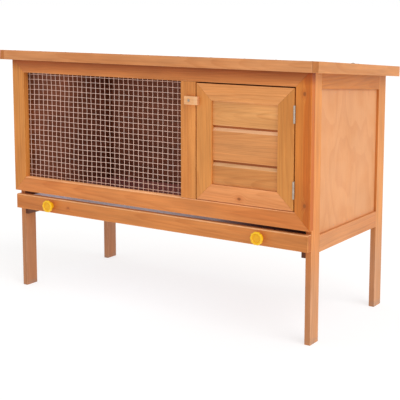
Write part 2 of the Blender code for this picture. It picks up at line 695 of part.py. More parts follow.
def make_roof_hinges():
    """Two butt hinges behind the body, under the rear fascia. Returns the roof's leaves."""
    axis = (ROOF_HINGE_Y, ROOF_HINGE_Z)
    down_slope = (math.cos(ROOF_SLOPE), -math.sin(ROOF_SLOPE))
    up_square = (math.sin(ROOF_SLOPE), math.cos(ROOF_SLOPE))
    radius = ROOF_HINGE_BARREL_RADIUS
    band = (radius - HINGE_LEAF_THICKNESS, radius)
    room_behind = ROOF_REAR_OVERHANG - FASCIA_LEAN - (ROOF_HINGE_Y - BACK_Y)
    roof_leaf = room_behind / math.cos(ROOF_SLOPE) - ROOF_HINGE_LEAF_EDGE
    leaves = []
    for side, middle in (("left", -ROOF_HINGE_SPACING / 2), ("right", ROOF_HINGE_SPACING / 2)):
        span = (middle - ROOF_HINGE_LENGTH / 2, middle + ROOF_HINGE_LENGTH / 2)
        name = "roof_hinge_" + side
        make_leaf(name + "_body_leaf", "YZ", axis, (0, -1), (-1, 0), band, ROOF_HINGE_BODY_LEAF,
                  radius, span, True)
        leaves.append(make_leaf(name + "_roof_leaf", "YZ", axis, down_slope, up_square, band,
                                roof_leaf, radius, span, False))
        cylinder(name + "_pin", HINGE_PIN_RADIUS, span, "YZ", axis, STEEL)
    return leaves


def make_door():
    leaves = make_door_hinges()
    hinge = pivot("door_hinge_axis", (*DOOR_HINGE_AXIS, (DOOR_Z[0] + DOOR_Z[1]) / 2))
    hang_on(hinge, make_door_frame() + make_door_boards() + leaves)


# ---------------------------------------------------------------- roof

def make_roof():
    """A felted board inside four fascia boards, hinged along the back."""
    half = ROOF_WIDTH / 2
    inner = half - FASCIA_THICKNESS - SEAT_GAP
    fascia_depth = (0, FASCIA_HEIGHT)
    inner_along = (FASCIA_THICKNESS + SEAT_GAP, ROOF_LENGTH - FASCIA_THICKNESS - SEAT_GAP)
    moving = make_roof_hinges()
    for side, x_span in mirror_pair(half - FASCIA_THICKNESS, half).items():
        moving.append(roof_box("fascia_" + side, x_span, (0, ROOF_LENGTH), fascia_depth, STAINED_FIR))
    moving.append(roof_box("fascia_front", (-inner, inner), (0, FASCIA_THICKNESS),
                           fascia_depth, STAINED_FIR))
    rear_fascia = ROOF_REAR_OVERHANG - FASCIA_LEAN - SEAT_GAP
    moving.append(roof_box("fascia_rear", (-inner, inner), (ROOF_LENGTH - rear_fascia, ROOF_LENGTH),
                           fascia_depth, STAINED_FIR))
    board_along = (inner_along[0], ROOF_LENGTH - rear_fascia - SEAT_GAP)
    moving.append(roof_box("roof_board", (-inner, inner), board_along, (BOARD_TOP, BOARD_BOTTOM), PLYWOOD))
    moving.append(roof_box("roof_felt", (-inner, inner), board_along,
                           (FELT_BELOW_FASCIA_TOP, FELT_BOTTOM), FELT))
    hang_on(pivot("roof_hinge_axis", (0, ROOF_HINGE_Y, ROOF_HINGE_Z)), moving)


# ---------------------------------------------------------------- assembly

clear_scene()
hutch = new_collection("rabbit_hutch")
cutters = new_collection("cutters")

make_front_frame()
make_window_mesh()
make_legs()
make_sides()
make_back()
make_divider()
make_runners()
make_tray()
make_door()
make_turn_button()
make_roof()
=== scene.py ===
import json
import math
import random

import bmesh
import bpy
from mathutils import Matrix, Vector

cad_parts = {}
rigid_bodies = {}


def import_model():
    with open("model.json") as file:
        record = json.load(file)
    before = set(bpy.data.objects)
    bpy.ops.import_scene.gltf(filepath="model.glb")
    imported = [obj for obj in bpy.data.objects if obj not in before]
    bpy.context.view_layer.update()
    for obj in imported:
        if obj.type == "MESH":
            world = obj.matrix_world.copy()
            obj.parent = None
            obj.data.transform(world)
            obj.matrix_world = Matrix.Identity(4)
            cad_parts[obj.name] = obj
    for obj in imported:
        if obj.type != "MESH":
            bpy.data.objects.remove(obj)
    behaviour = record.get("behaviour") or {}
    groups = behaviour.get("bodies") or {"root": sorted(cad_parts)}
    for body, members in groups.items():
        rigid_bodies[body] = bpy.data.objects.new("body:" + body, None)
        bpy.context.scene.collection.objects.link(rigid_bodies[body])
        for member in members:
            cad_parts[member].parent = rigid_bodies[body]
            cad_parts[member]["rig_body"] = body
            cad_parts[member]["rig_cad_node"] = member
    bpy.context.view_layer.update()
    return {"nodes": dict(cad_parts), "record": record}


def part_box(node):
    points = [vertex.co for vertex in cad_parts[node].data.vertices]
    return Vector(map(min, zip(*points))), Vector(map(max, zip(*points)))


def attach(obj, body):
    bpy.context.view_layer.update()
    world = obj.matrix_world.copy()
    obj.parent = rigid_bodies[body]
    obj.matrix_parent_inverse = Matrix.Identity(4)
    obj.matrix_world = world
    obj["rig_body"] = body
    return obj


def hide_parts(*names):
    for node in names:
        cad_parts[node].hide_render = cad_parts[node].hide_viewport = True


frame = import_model()

# -------------------------------- directions and sizes, in metres

LEFT, RIGHT = Vector((-1, 0, 0)), Vector((1, 0, 0))
FRONT, BACK = Vector((0, -1, 0)), Vector((0, 1, 0))
DOWN, UP = Vector((0, 0, -1)), Vector((0, 0, 1))
ROOF_SLOPE = math.radians(4.4)
DOWN_ROOF = Vector((0, math.cos(ROOF_SLOPE), -math.sin(ROOF_SLOPE)))
OUT_OF_ROOF = Vector((0, math.sin(ROOF_SLOPE), math.cos(ROOF_SLOPE)))

NEAR = 0.0001
MERGE = 0.00002
SMOOTH_ANGLE = math.radians(38)
NOWHERE = (9.0, 0.0, 0.0)

# The box round the cabin's inner faces, and the height of the roof's lower front edge.
CABIN_MIDDLE = (0, 0.00545, 0.412)
CABIN_REACH = (0.4157, 0.18095, 0.2)
EAVES_HEIGHT = 0.596

# How far edges are rounded.
TIMBER_EASE = 0.0007
BOARD_EASE = 0.0005
PANEL_EASE = 0.0003
TOP_EDGE_EASE = 0.0024

# A lapped board's groove: how far below its top two rows of corners lie and how far each moves
# down, and how far below its top the painted shade in the groove reaches.
GROOVE_ROWS = ((0.0100, 0.0082), (0.0060, 0.0052))
RECESS_REACH = 0.0112

WIRE_PITCH_ACROSS = 0.01446
WIRE_PITCH_UP = 0.0129
WIRE_RADIUS = 0.00055
STAPLE_INSET = 0.0053
PIN_INSET = 0.007

# Where the screws in the roof hinges' leaves sit: how far back, how high and which way they face.
LEAF_SCREWS = {"body": (0.1982, 0.5485, BACK, "cabinet"), "roof": (0.2059, 0.5627, DOWN, "roof")}
LEAF_SCREW_INSET = 0.011
TURN_BUTTON_END = 0.1476

# The felt's two strips, as shares of the roof's length down its slope, and its nails.
LOWER_STRIP_START = 0.46
UPPER_STRIP_END = 0.54
FELT_LAP = 0.08
FELT_EDGE = 0.0005
NAIL_INSET = 0.012

BODY_OF = {node: body
           for body, nodes in frame["record"]["behaviour"]["bodies"].items() for node in nodes}
SLOT_OF = {name: node.data.materials[0].name for name, node in frame["nodes"].items()}


# -------------------------------- working on a mesh

def drop_selection():
    """Leaves edit mode with nothing selected."""
    if bpy.context.object and bpy.context.object.mode != "OBJECT":
        bpy.ops.object.mode_set(mode="OBJECT")
    bpy.ops.object.select_all(action="DESELECT")


def take(piece):
    """Selects one piece and nothing else."""
    drop_selection()
    piece.select_set(True)
    bpy.context.view_layer.objects.active = piece


def new_piece(name):
    """Names the primitive that was just added and keeps only it selected."""
    piece = bpy.context.object
    piece.name = name
    piece.data.name = name
    take(piece)
    return piece


def edit(piece):
    take(piece)
    bpy.ops.object.mode_set(mode="EDIT")


def stop_editing():
    bpy.ops.object.mode_set(mode="OBJECT")


def pick(piece, faces=None, edges=None, points=None):
    """In edit mode, selects the faces, edges or points for which the test holds."""
    mesh = bmesh.from_edit_mesh(piece.data)
    for group in (mesh.verts, mesh.edges, mesh.faces):
        for element in group:
            element.select = False
    if faces:
        mode, found = "FACE", [face for face in mesh.faces if faces(face)]
    elif edges:
        mode, found = "EDGE", [edge for edge in mesh.edges if edges(edge)]
    else:
        mode, found = "VERT", [point for point in mesh.verts if points(point)]
    bpy.ops.mesh.select_mode(type=mode)
    mesh = bmesh.from_edit_mesh(piece.data)
    for element in found:
        element.select_set(True)
    bmesh.update_edit_mesh(piece.data)


def ease_edges(reach, segments, **settings):
    """Rounds the edges that are selected in edit mode."""
    bpy.ops.mesh.bevel(offset=reach, segments=segments, affect="EDGES", **settings)


def apply_modifier(piece, kind, **settings):
    take(piece)
    made = piece.modifiers.new(kind.lower(), kind)
    for name, value in settings.items():
        setattr(made, name, value)
    bpy.ops.object.modifier_apply(modifier=made.name)


def set_place(piece):
    """Moves a piece's place, turn and scale into its mesh."""
    take(piece)
    bpy.ops.object.transform_apply(location=True, rotation=True, scale=True)


def smooth(piece, angle=SMOOTH_ANGLE, weighted=True):
    take(piece)
    bpy.ops.object.shade_smooth_by_angle(angle=angle)
    if weighted:
        apply_modifier(piece, "WEIGHTED_NORMAL", keep_sharp=True, weight=80)


def duplicate(piece, name):
    """A copy with its own mesh."""
    take(piece)
    bpy.ops.object.duplicate()
    copy = bpy.context.object
    if copy.data.users > 1:
        copy.data = copy.data.copy()
    copy.name = name
    copy.data.name = name
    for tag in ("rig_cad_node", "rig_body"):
        if tag in copy:
            del copy[tag]
    return copy


def placed_copy(pattern, name, place, facing, roll=0.0):
    """A copy of a pattern piece, which faces up at the origin, turned and moved to its place."""
    copy = duplicate(pattern, name)
    turn = Vector(facing).to_track_quat("Z", "Y").to_matrix().to_4x4()
    copy.matrix_world = Matrix.Translation(place) @ turn @ Matrix.Rotation(roll, 4, "Z")
    set_place(copy)
    return copy


def join(name, pieces):
    drop_selection()
    for piece in pieces:
        piece.select_set(True)
    bpy.context.view_layer.objects.active = pieces[0]
    bpy.ops.object.join()
    return new_piece(name)


def discard(*pieces):
    for piece in pieces:
        bpy.data.objects.remove(piece)


def fit(piece, body, slot, finish, *nodes):
    """Gives a finished piece its material, its body and the nodes that it stands for."""
    piece.data.materials.clear()
    piece.data.materials.append(finish)
    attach(piece, body)
    if nodes:
        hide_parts(*nodes)


def mark_faces(piece, name, test):
    """Writes each face's share, from 0 to 1, as the test gives it."""
    made = piece.data.attributes.new(name, "FLOAT", "FACE")
    made.data.foreach_set("value", [float(test(face)) for face in piece.data.polygons])


# -------------------------------- shader nodes

class Wiring:
    """Adds shader nodes to one tree. A socket given as a value is linked, anything else is set."""

    def __init__(self, tree):
        self.tree = tree

    def node(self, kind, inputs=None, **settings):
        made = self.tree.nodes.new("ShaderNode" + kind)
        for name, value in settings.items():
            setattr(made, name, value)
        for key, value in (inputs or {}).items():
            self.feed(made.inputs[key], value)
        return made

    def feed(self, socket, value):
        if isinstance(value, bpy.types.NodeSocket):
            self.tree.links.new(value, socket)
        else:
            socket.default_value = value

    def maths(self, operation, *values):
        made = self.node("Math", dict(enumerate(values)), operation=operation)
        return made.outputs[0]

    def vectors(self, operation, *values):
        made = self.node("VectorMath", dict(enumerate(values)), operation=operation)
        return made.outputs["Value" if operation in ("LENGTH", "DOT_PRODUCT") else "Vector"]

    def scaled(self, vector, share):
        return self.node("VectorMath", {0: vector, "Scale": share}, operation="SCALE").outputs[0]

    def split(self, vector):
        return self.node("SeparateXYZ", {0: vector}).outputs

    def noise(self, place, stretch=(1, 1, 1), scale=1.0, detail=2.0, roughness=0.5):
        if tuple(stretch) != (1, 1, 1):
            place = self.vectors("MULTIPLY", place, stretch)
        made = self.node("TexNoise", {"Vector": place, "Scale": scale, "Detail": detail,
                                      "Roughness": roughness})
        return made.outputs[0]

    def band(self, value, low, high, start=0.0, end=1.0):
        """A smooth step from start to end as the value goes from low to high."""
        made = self.node("MapRange", {"Value": value, "From Min": low, "From Max": high,
                                      "To Min": start, "To Max": end},
                         interpolation_type="SMOOTHSTEP")
        return made.outputs["Result"]

    def blend(self, share, first, second):
        """A mix of two colours, which are inputs 6 and 7 of the node. Its output 2 is their mix."""
        made = self.node("Mix", {0: share, 6: first, 7: second}, data_type="RGBA")
        return made.outputs[2]

    def stained(self, base, share, change):
        """The base colour, with its channels multiplied by the change as far as the share says."""
        return self.blend(share, base, self.vectors("MULTIPLY", base, change))

    def mark(self, name):
        """The share that mark_faces wrote on each face."""
        return self.node("Attribute", attribute_name=name).outputs["Fac"]

    def group(self, tree, inputs):
        made = self.node("Group", node_tree=tree)
        for key, value in inputs.items():
            self.feed(made.inputs[key], value)
        return made.outputs


def new_group(name, inputs, outputs):
    """A node group whose socket kinds follow their starting values."""
    tree = bpy.data.node_groups.new(name, "ShaderNodeTree")
    for side, sockets in (("INPUT", inputs), ("OUTPUT", outputs)):
        for label, value in sockets.items():
            size = len(value) if hasattr(value, "__len__") else 1
            kind = {1: "NodeSocketFloat", 3: "NodeSocketVector", 4: "NodeSocketColor"}[size]
            tree.interface.new_socket(name=label, in_out=side, socket_type=kind).default_value = value
    given = tree.nodes.new("NodeGroupInput").outputs
    result = tree.nodes.new("NodeGroupOutput").inputs
    return Wiring(tree), given, result


def colour(red, green, blue):
    return (red, green, blue, 1.0)


def make_fir_grain():
    """Growth rings round a pith line, fine fibres, broad tone, heartwood and up to two knots.

    Position has the grain along x, the board's width along y and its face along z.
    """
    w, given, result = new_group("fir_grain", {
        "Position": (0, 0, 0), "Seed": 0.0,
        "Pith Place": (0, 0, -0.03), "Pith Lean": (0, 0, 0.02), "Ring Width": 0.003,
        "Early Wood": colour(0.75, 0.35, 0.12), "Late Wood": colour(0.55, 0.2, 0.05),
        "Knot One": NOWHERE, "Knot Two": NOWHERE, "Knot Size": 0.005,
        "Heartwood Reach": 0.0, "End Grain": 0.0,
    }, {"Color": colour(0.7, 0.3, 0.1), "Roughness": 0.5, "Height": 0.0})
    position = given["Position"]
    seeded = w.vectors("ADD", position, w.scaled((3.1, 1.7, 2.3), given["Seed"]))
    along = w.split(position)[0]
    from_pith = w.vectors("SUBTRACT", position, given["Pith Place"])
    from_pith = w.vectors("SUBTRACT", from_pith, w.scaled(given["Pith Lean"], along))
    radius = w.vectors("LENGTH", w.vectors("MULTIPLY", from_pith, (0, 1, 1)))
    wander = w.noise(seeded, (2.4, 11, 11), detail=2)
    ripple = w.noise(seeded, (16, 90, 90), detail=1)
    radius = w.maths("MULTIPLY_ADD", w.maths("SUBTRACT", wander, 0.5), 0.016, radius)
    radius = w.maths("MULTIPLY_ADD", w.maths("SUBTRACT", ripple, 0.5), 0.0011, radius)

    cores, halos, marks = [], [], []
    size = given["Knot Size"]
    for knot in ("Knot One", "Knot Two"):
        offset = w.vectors("MULTIPLY", w.vectors("SUBTRACT", position, given[knot]), (0.82, 1.1, 0))
        away = w.maths("DIVIDE", w.vectors("LENGTH", offset), size)
        spread = w.maths("EXPONENT", w.maths("MULTIPLY", w.maths("POWER", away, 2.0), -0.16))
        radius = w.maths("MULTIPLY_ADD", w.maths("MULTIPLY", spread, size), 1.7, radius)
        cores.append(w.band(away, 0.45, 1.15, 1.0, 0.0))
        halos.append(w.band(away, 0.8, 3.0, 1.0, 0.0))
        marks.append(w.maths("SINE", w.maths("MULTIPLY", away, 17.0)))
    core = w.maths("MAXIMUM", *cores)
    halo = w.maths("MAXIMUM", *halos)

    phase = w.maths("DIVIDE", radius, given["Ring Width"])
    turn = w.maths("FRACT", phase)
    late = w.maths("MULTIPLY", w.band(turn, 0.3, 0.9), w.band(turn, 0.9, 1.0, 1.0, 0.0))
    year = w.noise(w.node("CombineXYZ", {0: phase}).outputs[0], (0.45, 1, 1), detail=0)
    late = w.maths("MULTIPLY", late, w.band(year, 0.25, 0.7, 0.25, 1.0))
    fibre = w.noise(seeded, (24, 820, 820), detail=2, roughness=0.6)
    streak = w.noise(seeded, (5, 190, 190), detail=2)
    tone = w.noise(seeded, (2.0, 13, 13), detail=3)

    wood = w.blend(w.maths("MULTIPLY", late, 0.4), given["Early Wood"], given["Late Wood"])
    wood = w.stained(wood, w.band(tone, 0.38, 0.68), (0.9, 0.8, 0.68))
    wood = w.scaled(wood, w.band(fibre, 0.25, 0.75, 0.94, 1.05))
    wood = w.scaled(wood, w.band(streak, 0.3, 0.7, 0.94, 1.055))
    cloud = w.noise(seeded, (7, 34, 34), detail=3)
    wood = w.scaled(wood, w.band(cloud, 0.3, 0.7, 0.925, 1.075))
    heart = w.band(radius, w.maths("SUBTRACT", given["Heartwood Reach"], 0.0022),
                   given["Heartwood Reach"], 1.0, 0.0)
    wood = w.stained(wood, heart, (0.93, 0.76, 0.53))
    wood = w.stained(wood, w.maths("MULTIPLY", halo, 0.5), (0.78, 0.56, 0.4))
    knot_wood = w.blend(w.band(w.maths("ADD", *marks), -1.5, 1.5), colour(0.2, 0.045, 0.006),
                        colour(0.36, 0.1, 0.018))
    wood = w.blend(w.maths("MULTIPLY", core, 0.8), wood, knot_wood)
    end = given["End Grain"]
    wood = w.stained(wood, end, (0.88, 0.79, 0.74))
    w.feed(result["Color"], wood)
    gloss = w.band(fibre, 0.2, 0.8, 0.4, 0.52)
    w.feed(result["Roughness"], w.maths("MULTIPLY_ADD", end, 0.2, gloss))
    height = w.maths("MULTIPLY_ADD", late, 0.45, w.maths("MULTIPLY", fibre, 0.55))
    w.feed(result["Height"], w.maths("MULTIPLY_ADD", core, 0.4, height))
    return w.tree


def make_edge_wear():
    """How far the stain is rubbed through near a box's edges, in broken patches."""
    w, given, result = new_group("edge_wear", {
        "Position": (0, 0, 0), "Half Size": (0.1, 0.1, 0.1), "Width": 0.0025, "Seed": 0.0,
    }, {"Wear": 0.0})
    depth = w.vectors("SUBTRACT", given["Half Size"], w.vectors("ABSOLUTE", given["Position"]))
    a, b, c = w.split(depth)
    second = w.maths("MAXIMUM", w.maths("MINIMUM", a, b),
                     w.maths("MINIMUM", w.maths("MAXIMUM", a, b), c))
    seeded = w.vectors("ADD", given["Position"], w.scaled((5.3, 2.9, 4.1), given["Seed"]))
    patches = w.noise(seeded, scale=55.0, detail=3)
    reach = w.maths("MULTIPLY", given["Width"], w.band(patches, 0.3, 0.75, 0.25, 1.5))
    w.feed(result["Wear"], w.maths("SUBTRACT", 1.0, w.band(second, 0.0, reach)))
    return w.tree


def make_veneer():
    """The wide soft figure of peeled fir veneer, with mottling where the stain soaked in."""
    w, given, result = new_group("peeled_veneer", {
        "Position": (0, 0, 0), "Seed": 0.0,
        "Pale": colour(0.85, 0.42, 0.19), "Deep": colour(0.7, 0.3, 0.12),
    }, {"Color": colour(0.8, 0.4, 0.2), "Roughness": 0.5, "Height": 0.0})
    seeded = w.vectors("ADD", given["Position"], w.scaled((2.3, 4.7, 1.9), given["Seed"]))
    hills = w.noise(seeded, (2.2, 7.5, 7.5), detail=2, roughness=0.45)
    lines = w.maths("FRACT", w.maths("MULTIPLY", hills, 11.0))
    figure = w.maths("MULTIPLY", w.band(lines, 0.35, 0.92), w.band(lines, 0.92, 1.0, 1.0, 0.0))
    mottle = w.noise(seeded, scale=17.0, detail=3, roughness=0.6)
    cloud = w.noise(seeded, scale=5.0, detail=2)
    fibre = w.noise(seeded, (22, 640, 640), detail=2)
    wood = w.blend(w.maths("MULTIPLY", figure, 0.28), given["Pale"], given["Deep"])
    wood = w.stained(wood, w.band(mottle, 0.42, 0.75, 0.0, 0.38), (0.93, 0.83, 0.72))
    wood = w.scaled(wood, w.band(cloud, 0.3, 0.7, 0.95, 1.05))
    wood = w.scaled(wood, w.band(fibre, 0.25, 0.75, 0.96, 1.03))
    w.feed(result["Color"], wood)
    w.feed(result["Roughness"], w.band(mottle, 0.3, 0.7, 0.45, 0.58))
    w.feed(result["Height"], w.maths("MULTIPLY_ADD", figure, 0.3, w.maths("MULTIPLY", fibre, 0.6)))
    return w.tree


def make_zinc():
    """Zinc on steel: crystal spangles, cloudy white bloom and fine scratches."""
    w, given, result = new_group("zinc_coat", {
        "Position": (0, 0, 0), "Spangle Scale": 90.0,
        "Light": colour(0.66, 0.65, 0.69), "Dull": colour(0.42, 0.41, 0.45),
    }, {"Color": colour(0.6, 0.6, 0.6), "Roughness": 0.4, "Height": 0.0})
    warped = w.vectors("ADD", given["Position"], w.scaled(
        w.node("TexNoise", {"Vector": given["Position"], "Scale": 60.0}).outputs[1], 0.006))
    cells = w.node("TexVoronoi", {"Vector": warped, "Scale": given["Spangle Scale"]})
    flake = w.split(cells.outputs["Color"])[0]
    bloom = w.noise(given["Position"], scale=38.0, detail=4, roughness=0.65)
    scratch = w.noise(given["Position"], (60, 900, 900), detail=2)
    metal = w.blend(w.maths("MULTIPLY", flake, 0.5), given["Light"], given["Dull"])
    metal = w.blend(w.band(bloom, 0.5, 0.78, 0.0, 0.5), metal, colour(0.74, 0.73, 0.74))
    w.feed(result["Color"], metal)
    rough = w.maths("MULTIPLY_ADD", flake, 0.16, w.band(bloom, 0.4, 0.8, 0.34, 0.56))
    w.feed(result["Roughness"], rough)
    w.feed(result["Height"], w.maths("MULTIPLY_ADD", scratch, 0.5, w.maths("MULTIPLY", flake, 0.3)))
    return w.tree


def make_painted_cabin_shade():
    """Painted shade on the cabin's inner faces, which are the ones inside a box."""
    w, given, result = new_group("painted_cabin_shade", {
        "Own Place": (0, 0, 0), "Middle": CABIN_MIDDLE, "Reach": CABIN_REACH,
        "Color": colour(0.7, 0.3, 0.1),
    }, {"Color": colour(0.7, 0.3, 0.1)})
    away = w.vectors("ABSOLUTE", w.vectors("SUBTRACT", given["Own Place"], given["Middle"]))
    depth = w.split(w.vectors("SUBTRACT", given["Reach"], away))
    nearest = w.maths("MINIMUM", w.maths("MINIMUM", depth[0], depth[1]), depth[2])
    inside = w.band(nearest, 0.0, 0.0003)
    shade_variation = w.noise(given["Own Place"], (9, 9, 30), detail=3)
    # Painted shade: inner faces darkened unevenly and given a purplish cast.
    cabin_shaded = w.vectors("MULTIPLY", given["Color"], (0.34, 0.25, 0.32))
    cabin_shaded = w.scaled(cabin_shaded, w.band(shade_variation, 0.3, 0.7, 0.8, 1.15))
    w.feed(result["Color"], w.blend(inside, given["Color"], cabin_shaded))
    return w.tree


def make_painted_eaves_shadow():
    """Painted shadow of the roof's front overhang: the colour turns darker and redder just under it.
    """
    w, given, result = new_group("painted_eaves_shadow", {
        "Own Place": (0, 0, 0), "Eaves Height": EAVES_HEIGHT, "Reach": 0.026,
        "Color": colour(0.7, 0.3, 0.1),
    }, {"Color": colour(0.7, 0.3, 0.1)})
    height = w.split(given["Own Place"])[2]
    shadow_edge_noise = w.noise(given["Own Place"], (14, 14, 60), detail=3)
    ragged = w.maths("MULTIPLY_ADD", shadow_edge_noise, 0.006, height)
    start = w.maths("SUBTRACT", given["Eaves Height"], given["Reach"])
    share = w.node("MapRange", {"Value": ragged, "From Min": start,
                                "From Max": given["Eaves Height"]})
    # Painted shade: the colour darkens and reddens towards the overhang, standing for its shadow.
    deep = w.stained(given["Color"], share.outputs["Result"], (0.56, 0.36, 0.18))
    w.feed(result["Color"], deep)
    return w.tree


FIR_GRAIN = make_fir_grain()
EDGE_WEAR = make_edge_wear()
VENEER = make_veneer()
ZINC = make_zinc()
PAINTED_CABIN_SHADE = make_painted_cabin_shade()
PAINTED_EAVES_SHADOW = make_painted_eaves_shadow()


# -------------------------------- materials

def start_material(name, **shader):
    """A material and its Principled shader. Shader names its sockets with _ for a space."""
    made = bpy.data.materials.new(name)
    made.use_nodes = True
    w = Wiring(made.node_tree)
    surface = made.node_tree.nodes["Principled BSDF"]
    for key, value in shader.items():
        surface.inputs[key.replace("_", " ")].default_value = value
    return made, w, surface


def tinted(wood, tint):
    """A wood's red, green and blue, each times its share of the tint."""
    return [part * share for part, share in zip(wood, tint)]


def wire_surface(w, surface, base, roughness, height, depth, strength=0.6):
    w.feed(surface.inputs["Base Color"], base)
    w.feed(surface.inputs["Roughness"], roughness)
    bump = w.node("Bump", {"Height": height, "Distance": depth, "Strength": strength})
    w.feed(surface.inputs["Normal"], bump.outputs[0])


def measure(node, along, face):
    """The turn, middle and half size of a node in the frame of its grain, width and face."""
    across = face.cross(along)
    axes = Matrix((along, across, face))
    points = [axes @ vertex.co for vertex in frame["nodes"][node].data.vertices]
    low = Vector([min(p[i] for p in points) for i in range(3)])
    high = Vector([max(p[i] for p in points) for i in range(3)])
    turn = axes.transposed()
    return turn.to_euler(), turn @ ((low + high) / 2), (high - low) / 2


def own_places(w, middle, turn=(0, 0, 0)):
    """Object coordinates, and the same centred on a piece and turned with it."""
    own = w.node("TexCoord").outputs["Object"]
    return own, w.node("Mapping", {"Vector": own, "Location": middle, "Rotation": turn},
                       vector_type="TEXTURE").outputs[0]


def fir_material(node, along, face, early=(0.74, 0.33, 0.115), late=(0.56, 0.2, 0.05),
                 pith=(0.0, -0.03), lean=(0.0, 0.02), rings=0.0034, knots=(), knot_size=0.0045,
                 heart=0.0, seed=1.0, worn=0.35, tint=(1, 1, 1), foot=False, eaves_shadow=False):
    """Stained fir whose figure is cut for one board. A foot is dusty, and boards under the roof's
    front overhang get its painted shadow.
    """
    early, late = tinted(early, tint), tinted(late, tint)
    turn, middle, half = measure(node, along, face)
    made, w, surface = start_material(node + "_fir", Specular_IOR_Level=0.25, Coat_Weight=0.04,
                                      Coat_Roughness=0.35)
    own, place = own_places(w, middle, turn)
    knots = [(x, y, 0.0) for x, y in knots] + [NOWHERE, NOWHERE]
    grain = w.group(FIR_GRAIN, {
        "Position": place, "Seed": seed, "Pith Place": (0, *pith), "Pith Lean": (0, *lean),
        "Ring Width": rings, "Early Wood": colour(*early), "Late Wood": colour(*late),
        "Knot One": knots[0], "Knot Two": knots[1], "Knot Size": knot_size,
        "Heartwood Reach": heart, "End Grain": w.mark("end_grain")})
    wear = w.group(EDGE_WEAR, {"Position": place, "Half Size": half, "Seed": seed})["Wear"]
    base = w.blend(w.maths("MULTIPLY", wear, worn), grain["Color"],
                   colour(min(1, early[0] * 1.2), early[1] * 1.45, early[2] * 1.9))
    # Painted shade: darker in the lapped boards' grooves and on the legs' faces that don't face out.
    base = w.stained(base, w.mark("painted_shade"), (0.57, 0.37, 0.22))
    # Painted highlight: upward faces paler, where light catches a rail's top or a board's slope.
    base = w.stained(base, w.mark("painted_highlight"), (1.36, 1.96, 3.5))
    # Painted shadow of the roof's front overhang, on the boards just under it.
    if eaves_shadow:
        base = w.group(PAINTED_EAVES_SHADOW, {"Own Place": own, "Color": base})["Color"]
    if foot:
        height = w.split(own)[2]
        base = w.stained(base, w.band(height, 0.1, 0.26, 1.0, 0.0), (0.84, 1.02, 1.75))
        scuffs = w.noise(own, (60, 60, 90), detail=3)
        scuffed = w.maths("MULTIPLY", w.band(height, 0.0, 0.02, 1.0, 0.0),
                          w.band(scuffs, 0.4, 0.6))
        base = w.blend(w.maths("MULTIPLY", scuffed, 0.45), base, colour(0.3, 0.21, 0.17))
    # Painted shade on the faces inside the cabin.
    base = w.group(PAINTED_CABIN_SHADE, {"Own Place": own, "Color": base})["Color"]
    rough = w.maths("MULTIPLY_ADD", wear, 0.12, grain["Roughness"])
    wire_surface(w, surface, base, rough, grain["Height"], 0.0005)
    return made


def veneer_material(node, along, face, seed, tint):
    """Stained plywood."""
    pale, deep = tinted((0.86, 0.44, 0.2), tint), tinted((0.72, 0.31, 0.12), tint)
    turn, middle, _ = measure(node, along, face)
    made, w, surface = start_material(node + "_ply", Specular_IOR_Level=0.22)
    own, place = own_places(w, middle, turn)
    veneer = w.group(VENEER, {"Position": place, "Seed": seed, "Pale": colour(*pale),
                              "Deep": colour(*deep)})
    # Painted shade on the faces inside the cabin.
    base = w.group(PAINTED_CABIN_SHADE, {"Own Place": own, "Color": veneer["Color"]})["Color"]
    wire_surface(w, surface, base, veneer["Roughness"], veneer["Height"], 0.0005)
    return made


def zinc_material(name, metallic, spangles, light, dull, painted_tray_shade=False):
    """Galvanised or plated steel. A tray gets painted shade, darker and browner, at its back and nest
    end.
    """
    made, w, surface = start_material(name, Metallic=metallic)
    own = w.node("TexCoord").outputs["Object"]
    zinc = w.group(ZINC, {"Position": own, "Spangle Scale": spangles,
                          "Light": colour(*light), "Dull": colour(*dull)})
    base = zinc["Color"]
    if painted_tray_shade:
        across, back, _ = w.split(own)
        nest = w.maths("MULTIPLY_ADD", across, 0.55, -0.03)
        ragged = w.maths("MULTIPLY_ADD", w.noise(own, scale=26.0, detail=4), 0.12,
                         w.maths("MAXIMUM", back, nest))
        # Painted shade: the tray darker and browner towards its back and nest end, which lie in the
        # cabin's shade.
        base = w.stained(base, w.band(ragged, 0.03, 0.17), (0.44, 0.17, 0.13))
    wire_surface(w, surface, base, zinc["Roughness"], zinc["Height"], 0.0002)
    return made


def plastic_material(name, centre):
    """Yellow moulded plastic, paler in its thin fluted rim than in the dish."""
    made, w, surface = start_material(name, Specular_IOR_Level=0.3, Coat_Weight=0.1,
                                      Coat_Roughness=0.2)
    place = own_places(w, centre)[1]
    out = w.vectors("LENGTH", w.vectors("MULTIPLY", place, (1, 0, 1)))
    cloud = w.noise(place, scale=240.0, detail=2)
    grain = w.noise(place, scale=2600.0, detail=2)
    body = w.blend(w.band(out, 0.0085, 0.0125), colour(0.86, 0.42, 0.002),
                   colour(0.95, 0.55, 0.012))
    body = w.scaled(body, w.band(cloud, 0.3, 0.7, 0.94, 1.04))
    wire_surface(w, surface, body, w.band(cloud, 0.3, 0.7, 0.3, 0.42), grain, 0.0001, 0.3)
    return made


